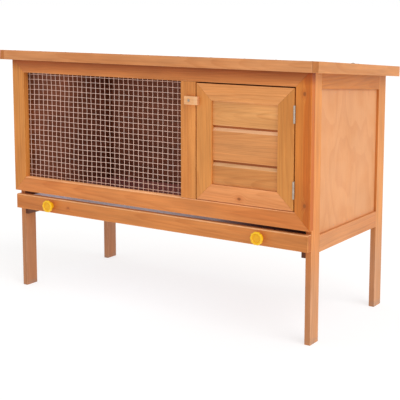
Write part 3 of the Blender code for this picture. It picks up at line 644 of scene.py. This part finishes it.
def felt_material():
    """Green mineral felt: crushed slate on bitumen, with bare specks and a weathered bloom."""
    made, w, surface = start_material("green_mineral_felt", Specular_IOR_Level=0.25)
    own = w.node("TexCoord").outputs["Object"]
    chips = w.node("TexVoronoi", {"Vector": own, "Scale": 780.0})
    chip = w.split(chips.outputs["Color"])
    tone = w.blend(chip[0], colour(0.035, 0.075, 0.045), colour(0.11, 0.19, 0.12))
    tone = w.blend(w.band(chip[1], 0.86, 0.93), tone, colour(0.24, 0.3, 0.24))
    bare = w.band(w.noise(own, scale=120.0, detail=3), 0.62, 0.72)
    tone = w.blend(bare, tone, colour(0.022, 0.026, 0.024))
    weather = w.noise(own, (3, 6, 6), detail=4, roughness=0.6)
    tone = w.scaled(tone, w.band(weather, 0.3, 0.72, 0.82, 1.22))
    height = w.maths("SUBTRACT", 1.0, w.maths("MULTIPLY", chips.outputs["Distance"], 1.6))
    wire_surface(w, surface, tone, w.band(weather, 0.3, 0.7, 0.82, 0.95), height, 0.0009, 0.8)
    return made


# -------------------------------- timber pieces

def timber(node, along, ease, reshape=None):
    """A copy of a wooden node with merged corners and eased edges. Its cut ends are marked."""
    piece = duplicate(frame["nodes"][node], node + "_timber")
    take(piece)
    bpy.ops.mesh.customdata_custom_splitnormals_clear()
    edit(piece)
    bpy.ops.mesh.select_all(action="SELECT")
    bpy.ops.mesh.remove_doubles(threshold=MERGE)
    bpy.ops.mesh.dissolve_limited(angle_limit=math.radians(0.5))
    bpy.ops.mesh.mark_sharp(clear=True)
    if reshape:
        reshape(piece)
        edit(piece)
    pick(piece, edges=lambda edge: edge.calc_length() > 0.004 and len(edge.link_faces) == 2
         and edge.calc_face_angle() > math.radians(30)
         and not any(0.3 < abs(side.normal.dot(along)) < 0.9 for side in edge.link_faces))
    ease_edges(ease, 2, clamp_overlap=True)
    stop_editing()
    smooth(piece)
    mark_faces(piece, "end_grain", lambda face: abs(face.normal.dot(along)) > 0.9)
    return piece


def soften_top(piece):
    """Rounds a rail's upper front edge, where its top carries a painted highlight."""
    low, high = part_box(piece.name.removesuffix("_timber"))
    edit(piece)
    pick(piece, edges=lambda edge: all(point.co.y < low.y + NEAR and point.co.z > high.z - NEAR
                                       for point in edge.verts))
    ease_edges(TOP_EDGE_EASE, 1)
    stop_editing()


def open_groove(piece):
    """Cuts a lapped board's upper edge back, so that a sunken band and a slope show below the next.
    """
    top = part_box(piece.name.removesuffix("_timber"))[1].z
    for drop, move in GROOVE_ROWS:
        edit(piece)
        pick(piece, points=lambda point: abs(top - drop - point.co.z) < 3 * NEAR)
        bpy.ops.transform.translate(value=(0, 0, -move))
        stop_editing()


LAPPED_BOARDS = ("door_board_middle", "door_board_bottom")
HIGHLIGHT_TOPPED = ("tray_front", "front_bottom_rail")


def mark_painted_light(piece, board, face):
    """Marks the faces that get painted shade, in a lapped board's groove and on a leg's faces that
    don't face out, and those that get a painted highlight, on a lapped board's slope and on a rail's
    or tray front's top.
    """
    if board in LAPPED_BOARDS:
        recess_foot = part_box(board)[1].z - RECESS_REACH
        # Painted shade on the tongue's face up in the groove.
        mark_faces(piece, "painted_shade",
                   lambda side: side.normal.y < -0.9 and side.center.z > recess_foot)
        # Painted highlight on the board's slope below the groove.
        mark_faces(piece, "painted_highlight",
                   lambda side: 0.7 * (side.normal.y < -0.3 and side.normal.z > 0.2))
    elif board in HIGHLIGHT_TOPPED:
        # Painted highlight on the top of the sill and of the tray front.
        mark_faces(piece, "painted_highlight", lambda side: side.normal.z > 0.3)
    elif board.startswith("leg"):
        # Painted shade on a leg's faces that don't face out.
        mark_faces(piece, "painted_shade", lambda side: 0.4 * (side.normal.dot(face) < 0.5))


# Grain direction, shown face and cut of every fir board. Its tint is how it took the stain, as a
# share of the wood's red, green and blue. Dice give the other values that a cut leaves out.
dice = random.Random(11)
# The tray runners' fir is far darker than the other boards, as painted shade.
SHADE_PAINTED_FIR = dict(early=(0.16, 0.06, 0.03), late=(0.08, 0.028, 0.014), worn=0.15)
FIR_BOARDS = {
    "front_stile_left": (UP, FRONT, dict(tint=(0.92, 0.82, 0.52), pith=(0.02, -0.03), eaves_shadow=True)),
    "front_stile_right": (UP, FRONT, dict(tint=(0.94, 0.69, 0.3), pith=(-0.031, -0.006),
        lean=(0.008, 0.0), heart=0.033, knots=[(0.1205, -0.002), (-0.118, -0.0055)],
        knot_size=0.0046, eaves_shadow=True)),
    "front_bottom_rail": (RIGHT, FRONT, dict(tint=(0.97, 0.75, 0.55), pith=(0.004, -0.035),
        lean=(0.0, 0.03))),
    "front_top_rail": (RIGHT, FRONT, dict(tint=(0.94, 0.77, 0.61), pith=(0.03, -0.02), eaves_shadow=True)),
    "front_mullion": (UP, FRONT, dict(tint=(0.99, 0.86, 0.6), pith=(-0.02, -0.04))),
    "leg_front_left": (UP, LEFT, dict(tint=(0.97, 0.9, 0.78), foot=True)),
    "leg_front_right": (UP, RIGHT, dict(tint=(1.08, 0.98, 0.78), foot=True)),
    "leg_rear_left": (UP, LEFT, dict(tint=(0.93, 0.84, 0.73), foot=True)),
    "leg_rear_right": (UP, RIGHT, dict(tint=(1.02, 0.93, 0.75), foot=True)),
    "side_bottom_rail_left": (BACK, LEFT, dict(tint=(0.92, 0.86, 0.89))),
    "side_bottom_rail_right": (BACK, RIGHT, dict(tint=(0.92, 0.86, 0.89))),
    "side_top_rail_left": (BACK, LEFT, dict(tint=(0.89, 0.69, 0.39))),
    "side_top_rail_right": (BACK, RIGHT, dict(tint=(0.89, 0.69, 0.39))),
    "back_top_rail": (RIGHT, BACK, dict(tint=(0.89, 0.72, 0.46))),
    "back_bottom_rail": (RIGHT, BACK, dict(tint=(0.9, 0.82, 0.79), knots=[(-0.19, 0.006)])),
    "tray_runner_left": (BACK, RIGHT, SHADE_PAINTED_FIR),
    "tray_runner_right": (BACK, LEFT, SHADE_PAINTED_FIR),
    "tray_front": (RIGHT, FRONT, dict(tint=(0.87, 0.68, 0.47), pith=(0.012, -0.03),
        lean=(0.0, 0.025), knots=[(-0.25, 0.0)], knot_size=0.0026, worn=0.75)),
    "door_stile_left": (UP, FRONT, dict(tint=(0.97, 0.85, 0.57))),
    "door_stile_right": (UP, FRONT, dict(tint=(0.94, 0.83, 0.52))),
    "door_top_rail": (RIGHT, FRONT, dict(tint=(1.06, 0.99, 0.89))),
    "door_bottom_rail": (RIGHT, FRONT, dict(tint=(1.17, 1.1, 1.19), knots=[(-0.011, -0.007)])),
    "door_board_top": (RIGHT, FRONT, dict(tint=(1.09, 1.19, 1.2), pith=(0.0, -0.012),
        lean=(0.02, 0.09), rings=0.004)),
    "door_board_middle": (RIGHT, FRONT, dict(tint=(0.94, 0.88, 0.81), pith=(0.03, -0.03))),
    "door_board_bottom": (RIGHT, FRONT, dict(tint=(0.9, 0.87, 0.76), pith=(-0.02, -0.03),
        lean=(0.0, 0.05))),
    "fascia_front": (RIGHT, FRONT, dict(tint=(0.91, 0.85, 0.9), pith=(0.0, -0.03),
        lean=(0.0, 0.03), worn=0.55)),
    "fascia_rear": (RIGHT, BACK, dict(tint=(0.85, 0.75, 0.7))),
    "fascia_left": (DOWN_ROOF, LEFT, dict(tint=(0.87, 0.79, 0.72))),
    "fascia_right": (DOWN_ROOF, RIGHT, dict(tint=(0.87, 0.79, 0.72))),
}
for board, (along, face, look) in FIR_BOARDS.items():
    look = {"pith": (dice.uniform(-0.03, 0.03), -dice.uniform(0.015, 0.05)),
            "lean": (dice.uniform(-0.01, 0.01), dice.uniform(-0.04, 0.04)),
            "rings": dice.uniform(0.0028, 0.0042), "seed": dice.uniform(0, 9), **look}
    reshape = (open_groove if board in LAPPED_BOARDS
               else soften_top if board in HIGHLIGHT_TOPPED else None)
    piece = timber(board, along, BOARD_EASE if "board" in board else TIMBER_EASE, reshape)
    mark_painted_light(piece, board, face)
    fit(piece, BODY_OF[board], SLOT_OF[board], fir_material(board, along, face, **look), board)

# Grain direction, shown face and tint of every plywood panel.
PLY_PANELS = {
    "side_panel_left": (UP, LEFT, (0.84, 0.75, 0.7)),
    "side_panel_right": (UP, RIGHT, (0.84, 0.75, 0.7)),
    "back_panel": (RIGHT, BACK, (0.84, 0.75, 0.7)),
    "divider": (UP, RIGHT, (1, 1, 1)),
    "roof_board": (RIGHT, OUT_OF_ROOF, (1, 1, 1)),
}
for panel, (along, face, tint) in PLY_PANELS.items():
    piece = timber(panel, along, PANEL_EASE)
    veneer = veneer_material(panel, along, face, dice.uniform(0, 9), tint)
    fit(piece, BODY_OF[panel], SLOT_OF[panel], veneer, panel)


# -------------------------------- metal, wire and plastic

WIRE_ZINC = zinc_material("galvanised_wire", 0.2, 500.0, (0.98, 0.7, 0.58), (0.86, 0.58, 0.47))
TRAY_ZINC = zinc_material("galvanised_sheet", 0.15, 80.0, (0.9, 0.84, 0.9), (0.78, 0.73, 0.8),
                          painted_tray_shade=True)
PLATED_STEEL = zinc_material("zinc_plated_steel", 0.6, 400.0, (0.5, 0.42, 0.34),
                             (0.35, 0.29, 0.23))
frame["nodes"]["tray_pan"].material_slots[0].material = TRAY_ZINC
for name in frame["nodes"]:
    if "hinge" in name:
        frame["nodes"][name].material_slots[0].material = PLATED_STEEL


def wire_run(name, centre, length, facing, cuts, count, step):
    """Parallel wires: one thin rod, cut into short lengths so that it can bend, and its copies."""
    turn = (0, 0, 0) if facing == "up" else (0, math.pi / 2, 0)
    bpy.ops.mesh.primitive_cylinder_add(vertices=6, radius=WIRE_RADIUS, depth=length,
                                        location=centre, rotation=turn)
    rod = new_piece(name)
    set_place(rod)
    edit(rod)
    pick(rod, edges=lambda edge: edge.calc_length() > length / 2)
    bpy.ops.mesh.subdivide(number_cuts=cuts)
    stop_editing()
    apply_modifier(rod, "ARRAY", count=count, use_relative_offset=False,
                   use_constant_offset=True, constant_offset_displace=step)
    return rod


def make_window_wires():
    """Welded wire mesh: upright wires in front of level ones, slightly wavy."""
    low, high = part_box("window_mesh")
    middle = (low + high) / 2
    face_y = low.y + WIRE_RADIUS
    uprights = int((high.x - low.x) / WIRE_PITCH_ACROSS)
    levels = int((high.z - low.z) / WIRE_PITCH_UP)
    first_x = middle.x - uprights * WIRE_PITCH_ACROSS / 2
    first_z = middle.z - levels * WIRE_PITCH_UP / 2
    up = wire_run("upright_wires", (first_x, face_y, middle.z), high.z - low.z, "up", 21,
                  uprights + 1, (WIRE_PITCH_ACROSS, 0, 0))
    flat = wire_run("level_wires", (middle.x, face_y + WIRE_RADIUS * 1.5, first_z),
                    high.x - low.x, "level", 35, levels + 1, (0, 0, WIRE_PITCH_UP))
    wires = join("window_wires", [up, flat])
    wander = bpy.data.textures.new("wire_wander", "CLOUDS")
    wander.noise_scale = 0.045
    sag = bpy.data.textures.new("wire_sag", "CLOUDS")
    sag.noise_scale = 0.16
    free = wires.vertex_groups.new(name="free_span")
    for vertex in wires.data.vertices:
        inset = min(vertex.co.x - low.x, high.x - vertex.co.x, vertex.co.z - low.z,
                    high.z - vertex.co.z)
        free.add([vertex.index], max(0.0, min(1.0, (inset - 0.014) / 0.03)), "REPLACE")
    bends = (("X", wander, 0.0035, 0.5), ("Z", sag, 0.004, 0.5), ("Y", sag, 0.004, 0.3))
    for direction, texture, amount, level in bends:
        apply_modifier(wires, "DISPLACE", texture=texture, direction=direction,
                       texture_coords="GLOBAL", strength=amount, mid_level=level,
                       vertex_group="free_span")
    wires.vertex_groups.clear()
    for texture in (wander, sag):
        bpy.data.textures.remove(texture)
    smooth(wires, math.radians(80), weighted=False)
    return wires


fit(make_window_wires(), "cabinet", "galvanised_wire", WIRE_ZINC, "window_mesh")


def start_disc(name, sides, radius, thickness, middle):
    """Adds an upright disc, its middle at a height above the origin, and starts to edit it."""
    bpy.ops.mesh.primitive_cylinder_add(vertices=sides, radius=radius, depth=thickness,
                                        location=(0, 0, middle))
    disc = new_piece(name)
    set_place(disc)
    edit(disc)
    return disc


def make_screw_pattern():
    """A round-headed screw with a cross slot, its head sitting on the origin and facing up."""
    radius, height, shank_radius, shank_length = 0.0031, 0.0018, 0.0014, 0.009
    slot_size = (0.0036, 0.00075, 0.0018)
    screw = start_disc("screw_pattern", 24, radius, height, height / 2)
    pick(screw, edges=lambda edge: all(point.co.z > height - NEAR for point in edge.verts))
    ease_edges(0.0011, 4, profile=0.55)
    pick(screw, faces=lambda face: face.normal.z < -0.9)
    bpy.ops.mesh.inset(thickness=radius - shank_radius)
    bpy.ops.mesh.extrude_region_move(TRANSFORM_OT_translate={"value": (0, 0, -shank_length)})
    bpy.ops.mesh.inset(thickness=0.0011)
    stop_editing()
    for turn in (0.0, math.pi / 2):
        bpy.ops.mesh.primitive_cube_add(size=1, location=(0, 0, height), rotation=(0, 0, turn))
        slot = new_piece("slot_cutter")
        slot.scale = slot_size
        set_place(slot)
        apply_modifier(screw, "BOOLEAN", object=slot, operation="DIFFERENCE", solver="EXACT")
        discard(slot)
    smooth(screw, math.radians(35))
    return screw


def make_knob_pattern():
    """A knob with broad lobes, a dished face and a stem, standing on the origin and facing up."""
    radius, depth, rim = 0.0155, 0.0162, 0.0062
    dish_rings = ((0.0045, 0), (0.0012, -0.0019), (0.004, 0.0005), (0.003, 0))
    back_rise = 0.0008
    lobes, points_each = 10, 6
    knob = start_disc("knob_pattern", lobes * points_each, radius, rim, depth - rim / 2)
    pick(knob, faces=lambda face: face.normal.z > 0.9)
    for width, rise in dish_rings:
        bpy.ops.mesh.inset(thickness=width)
        bpy.ops.transform.translate(value=(0, 0, rise))
    pick(knob, faces=lambda face: face.normal.z < -0.9)
    bpy.ops.mesh.inset(thickness=0.0065)
    bpy.ops.transform.translate(value=(0, 0, -back_rise))
    stem = (0, 0, rim + back_rise - depth)
    bpy.ops.mesh.extrude_region_move(TRANSFORM_OT_translate={"value": stem})
    bpy.ops.mesh.inset(thickness=0.006)

    def step(point):
        """How many points past its lobe's top an outermost point is, or -1 for the others."""
        turned = math.atan2(point.co.y, point.co.x) * lobes * points_each / (2 * math.pi)
        return round(turned) % points_each if point.co.xy.length > radius * 0.9 else -1

    hollows = ((0.925, (3,)), (0.945, (2, 4)), (0.985, (1, 5)))
    outline = {point.index: step(point) for point in bmesh.from_edit_mesh(knob.data).verts}
    for share, steps in hollows:
        pick(knob, points=lambda point: outline[point.index] in steps)
        bpy.ops.transform.resize(value=(share, share, 1), center_override=(0, 0, 0))
    pick(knob, edges=lambda edge: all(point.co.xy.length > radius * 0.87 for point in edge.verts)
         and abs(edge.verts[0].co.z - edge.verts[1].co.z) < NEAR)
    ease_edges(0.0013, 3)
    stop_editing()
    smooth(knob, math.radians(50))
    return knob


def seat_on(node, facing, sunk=0.0):
    """The middle of a node's front or back face, or of the same face sunk into the node."""
    low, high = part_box(node)
    y = low.y + sunk if facing == FRONT else high.y - sunk
    return Vector(((low.x + high.x) / 2, y, (low.z + high.z) / 2))


def drive_screw(name, body, place, facing, turned, *nodes):
    screw = placed_copy(screw_pattern, name, place, facing, turned)
    fit(screw, body, "zinc_plated_steel", PLATED_STEEL, *nodes)


screw_pattern = make_screw_pattern()
knob_pattern = make_knob_pattern()
for side in ("left", "right"):
    node = "knob_" + side
    seat = seat_on(node, BACK)
    knob = placed_copy(knob_pattern, node + "_fluted", seat, FRONT)
    fit(knob, "tray", "yellow_plastic", plastic_material("yellow_" + node, seat), node)
    node = "knob_screw_" + side
    drive_screw(node + "_cross", "tray", seat_on(node, BACK, 0.0016), BACK, 0.4, node)

# Two screws through each leaf of the roof's hinges.
low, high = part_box("roof_hinge_right_body_leaf")
for side in (-1, 1):
    for x in (side * (low.x + LEAF_SCREW_INSET), side * (high.x - LEAF_SCREW_INSET)):
        for leaf, (back, up, facing, body) in LEAF_SCREWS.items():
            name = ("roof_hinge_%s_screw_%+.3f" % (leaf, x)).replace("+", "p")
            drive_screw(name, body, (x, back, up), facing, dice.uniform(0, 3))


def make_staple_pattern():
    """A wire staple, its crown on the origin and its legs pointing down."""
    bpy.ops.mesh.primitive_cube_add(size=1, location=(0, 0, 0.0003))
    staple = new_piece("staple_pattern")
    staple.scale = (0.0106, 0.0008, 0.0006)
    set_place(staple)
    edit(staple)
    pick(staple, edges=lambda edge: edge.calc_length() > 0.005)
    bpy.ops.mesh.subdivide(number_cuts=10)
    pick(staple, faces=lambda face: face.normal.z < -0.9
         and abs(face.calc_center_median().x) > 0.0045)
    bpy.ops.mesh.extrude_region_move(TRANSFORM_OT_translate={"value": (0, 0, -0.0042)})
    stop_editing()
    return staple


def make_pin_pattern():
    """A panel pin's small domed head, facing up."""
    pin = start_disc("pin_pattern", 10, 0.001, 0.0005, 0.0001)
    pick(pin, edges=lambda edge: all(point.co.z > 0.0003 for point in edge.verts))
    ease_edges(0.0003, 2)
    stop_editing()
    smooth(pin)
    return pin


def spread(first, last, count):
    """Evenly spaced values from first to last."""
    return [first + (last - first) * i / (count - 1) for i in range(count)]


staple_pattern = make_staple_pattern()
pin_pattern = make_pin_pattern()
low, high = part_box("window_mesh")
staples = [(x, z, 0.0) for x in spread(low.x + 0.03, high.x - 0.03, 9)
           for z in (low.z + STAPLE_INSET, high.z - STAPLE_INSET)]
staples += [(x, z, math.pi / 2) for z in spread(low.z + 0.04, high.z - 0.04, 5)
            for x in (low.x + STAPLE_INSET, high.x - STAPLE_INSET)]
staples = [placed_copy(staple_pattern, "staple", (x, high.y, z), BACK,
                       roll + dice.uniform(-0.15, 0.15)) for x, z, roll in staples]
fit(join("mesh_staples", staples), "cabinet", "galvanised_wire", WIRE_ZINC)

low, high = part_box("back_panel")
pins = [((x, high.y, z), BACK) for x in spread(low.x + PIN_INSET, high.x - PIN_INSET, 10)
        for z in (low.z + PIN_INSET, high.z - PIN_INSET)]
pins += [((x, high.y, z), BACK) for x in (low.x + PIN_INSET, high.x - PIN_INSET)
         for z in spread(low.z + 0.07, high.z - 0.07, 3)]
low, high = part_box("side_panel_right")
fall = math.tan(ROOF_SLOPE)
for facing in (LEFT, RIGHT):
    for row, y in enumerate(spread(low.y + PIN_INSET, high.y - PIN_INSET, 5)):
        top = high.z - (y - low.y) * fall - PIN_INSET
        count = 5 if row in (0, 4) else 2
        pins += [((facing.x * high.x, y, z), facing) for z in spread(low.z + PIN_INSET, top, count)]
pins = [placed_copy(pin_pattern, "pin", place, facing) for place, facing in pins]
fit(join("panel_pins", pins), "cabinet", "zinc_plated_steel", PLATED_STEEL)


def make_turn_button():
    """The wooden turn button, long enough to hold the door, with softened corners."""
    low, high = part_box("latch_button")
    high.x = TURN_BUTTON_END
    bpy.ops.mesh.primitive_cube_add(size=1, location=(low + high) / 2)
    button = new_piece("turn_button_wood")
    button.scale = high - low
    set_place(button)
    edit(button)
    pick(button, edges=lambda edge: edge.calc_length() < 0.01)
    ease_edges(0.0016, 3)
    pick(button, edges=lambda edge: edge.calc_face_angle() > math.radians(50))
    ease_edges(0.0006, 2)
    stop_editing()
    smooth(button)
    mark_faces(button, "end_grain", lambda face: abs(face.normal.x) > 0.9)
    return button


PALE_FIR = fir_material("latch_button", RIGHT, FRONT, early=(0.9, 0.52, 0.27),
                        late=(0.78, 0.38, 0.17), rings=0.0026, pith=(0.01, -0.02), worn=0.2,
                        tint=(1.0, 0.92, 0.82))
fit(make_turn_button(), "turn_button", "bare_wood", PALE_FIR, "latch_button")
drive_screw("latch_screw_cross", "cabinet", seat_on("latch_screw", FRONT, 0.0018), FRONT, 0.6,
            "latch_screw")


# -------------------------------- roof felt

FELT = felt_material()


def on_roof(x, along, height=0.0):
    """A point on the felt's upper face: along is down the slope from its front edge."""
    low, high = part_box("roof_felt")
    start = Vector((0, low.y, high.z))
    return start + DOWN_ROOF * along + OUT_OF_ROOF * height + Vector((x, 0, 0))


def make_felt_strip(name, span, lift, lap=0.0):
    """One strip of felt across the roof, slightly uneven. Its lap climbs over the next strip."""
    low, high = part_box("roof_felt")
    length = span[1] - span[0]
    bpy.ops.mesh.primitive_grid_add(x_subdivisions=88, y_subdivisions=max(4, int(length / 0.01)),
                                    size=1, location=(0, 0, 0))
    strip = new_piece(name)
    strip.scale = (high.x - low.x - 0.001, length, 1)
    set_place(strip)
    waves = bpy.data.textures.new("felt_waves", "CLOUDS")
    waves.noise_scale = 0.09
    apply_modifier(strip, "DISPLACE", texture=waves, direction="Z", strength=0.0006,
                   mid_level=0.0)
    bpy.data.textures.remove(waves)
    apply_modifier(strip, "SOLIDIFY", thickness=0.0011, offset=1.0)
    if lap:
        edit(strip)
        for share in (0.4, 0.35, 0.25):
            pick(strip, points=lambda point: point.co.y > length / 2 - lap * (1.5 - share))
            bpy.ops.transform.translate(value=(0, 0, 0.0016 * share))
        stop_editing()
    strip.rotation_euler.x = -ROOF_SLOPE
    strip.location = on_roof(0, (span[0] + span[1]) / 2, lift)
    set_place(strip)
    smooth(strip, weighted=False)
    return strip


low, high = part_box("roof_felt")
felt_run = (high.y - low.y) / math.cos(ROOF_SLOPE)
lower_strip = make_felt_strip("felt_lower", (felt_run * LOWER_STRIP_START, felt_run - FELT_EDGE),
                              -0.0021)
upper_strip = make_felt_strip("felt_upper", (FELT_EDGE, felt_run * UPPER_STRIP_END), -0.0019,
                              felt_run * FELT_LAP)
fit(lower_strip, "roof", "roofing_felt", FELT, "roof_felt")
fit(upper_strip, "roof", "roofing_felt", FELT)


def make_clout_pattern():
    """A clout nail's broad flat head, facing up."""
    nail = start_disc("clout_pattern", 14, 0.0042, 0.0008, 0.0004)
    pick(nail, edges=lambda edge: all(point.co.z > 0.0007 for point in edge.verts))
    ease_edges(0.0003, 2)
    pick(nail, faces=lambda face: face.normal.z > 0.9)
    bpy.ops.mesh.inset(thickness=0.0024)
    bpy.ops.transform.translate(value=(0, 0, 0.0002))
    stop_editing()
    smooth(nail)
    return nail


clout_pattern = make_clout_pattern()
half_width = high.x - NAIL_INSET
across = [-half_width + i * half_width / 5 for i in range(11)]
rows = [(NAIL_INSET, across, -0.0007), (felt_run * UPPER_STRIP_END - 0.01, across, 0.0009),
        (felt_run - NAIL_INSET, across, -0.0009)]
rows += [(NAIL_INSET + (felt_run - 2 * NAIL_INSET) * i / 6, [-half_width, half_width], -0.0007)
         for i in (1, 2, 4, 5)]
nails = []
for along, places, lift in rows:
    for x in places:
        spot = on_roof(x + dice.uniform(-0.003, 0.003), along + dice.uniform(-0.002, 0.002), lift)
        nails.append(placed_copy(clout_pattern, "clout", spot, OUT_OF_ROOF, dice.uniform(0, 3)))
fit(join("felt_nails", nails), "roof", "zinc_plated_steel", PLATED_STEEL)
discard(screw_pattern, knob_pattern, clout_pattern, staple_pattern, pin_pattern)


# -------------------------------- floor, light and camera

bpy.ops.mesh.primitive_plane_add(size=300, location=(0, 0, 0))
floor = new_piece("studio_floor")
paper, w, surface = start_material("pale_paper", Roughness=0.9, Specular_IOR_Level=0.1,
                                   Emission_Color=colour(1, 1, 1), Emission_Strength=0.7)
mottle = w.noise(w.node("TexCoord").outputs["Object"], scale=0.6)
w.feed(surface.inputs["Base Color"],
       w.blend(mottle, colour(0.34, 0.34, 0.34), colour(0.36, 0.36, 0.36)))
floor.data.materials.append(paper)

world = bpy.data.worlds.new("studio_room")
bpy.context.scene.world = world
world.use_nodes = True
room = Wiring(world.node_tree)
backdrop = world.node_tree.nodes["Background"].inputs
seen = room.node("LightPath").outputs["Is Camera Ray"]
room.feed(backdrop["Color"], colour(1.0, 1.0, 1.0))
room.feed(backdrop["Strength"], room.band(seen, 0, 1, 0.7, 1.0))

bpy.ops.object.light_add(type="AREA", location=(-0.14, -0.05, 0.56))
cabin_fill = bpy.context.object
cabin_fill.name = "cabin_fill"
cabin_fill.data.shape = "RECTANGLE"
cabin_fill.data.size, cabin_fill.data.size_y = 0.5, 0.16
cabin_fill.data.energy = 0.35
cabin_fill.visible_camera = False

bpy.ops.object.light_add(type="SUN", location=(3, -2, 3))
soft_key = bpy.context.object
soft_key.name = "soft_key"
soft_key.data.energy = 1.4
soft_key.data.angle = math.radians(50)
soft_key.rotation_euler = Vector((0.72, -0.2, 0.66)).to_track_quat("Z", "Y").to_euler()

camera_data = bpy.data.cameras.new("camera")
camera = bpy.data.objects.new("camera", camera_data)
bpy.context.scene.collection.objects.link(camera)
camera.location = (1.3830, -2.0200, 0.7386)
camera.rotation_euler = (math.radians(90 - 7.91), 0, math.radians(34.02))
camera_data.sensor_width = 36
camera_data.lens = 88.9
camera_data.shift_y = -0.15
camera_data.clip_end = 500
bpy.context.scene.camera = camera
bpy.context.scene.view_settings.view_transform = "Standard"

drop_selection()
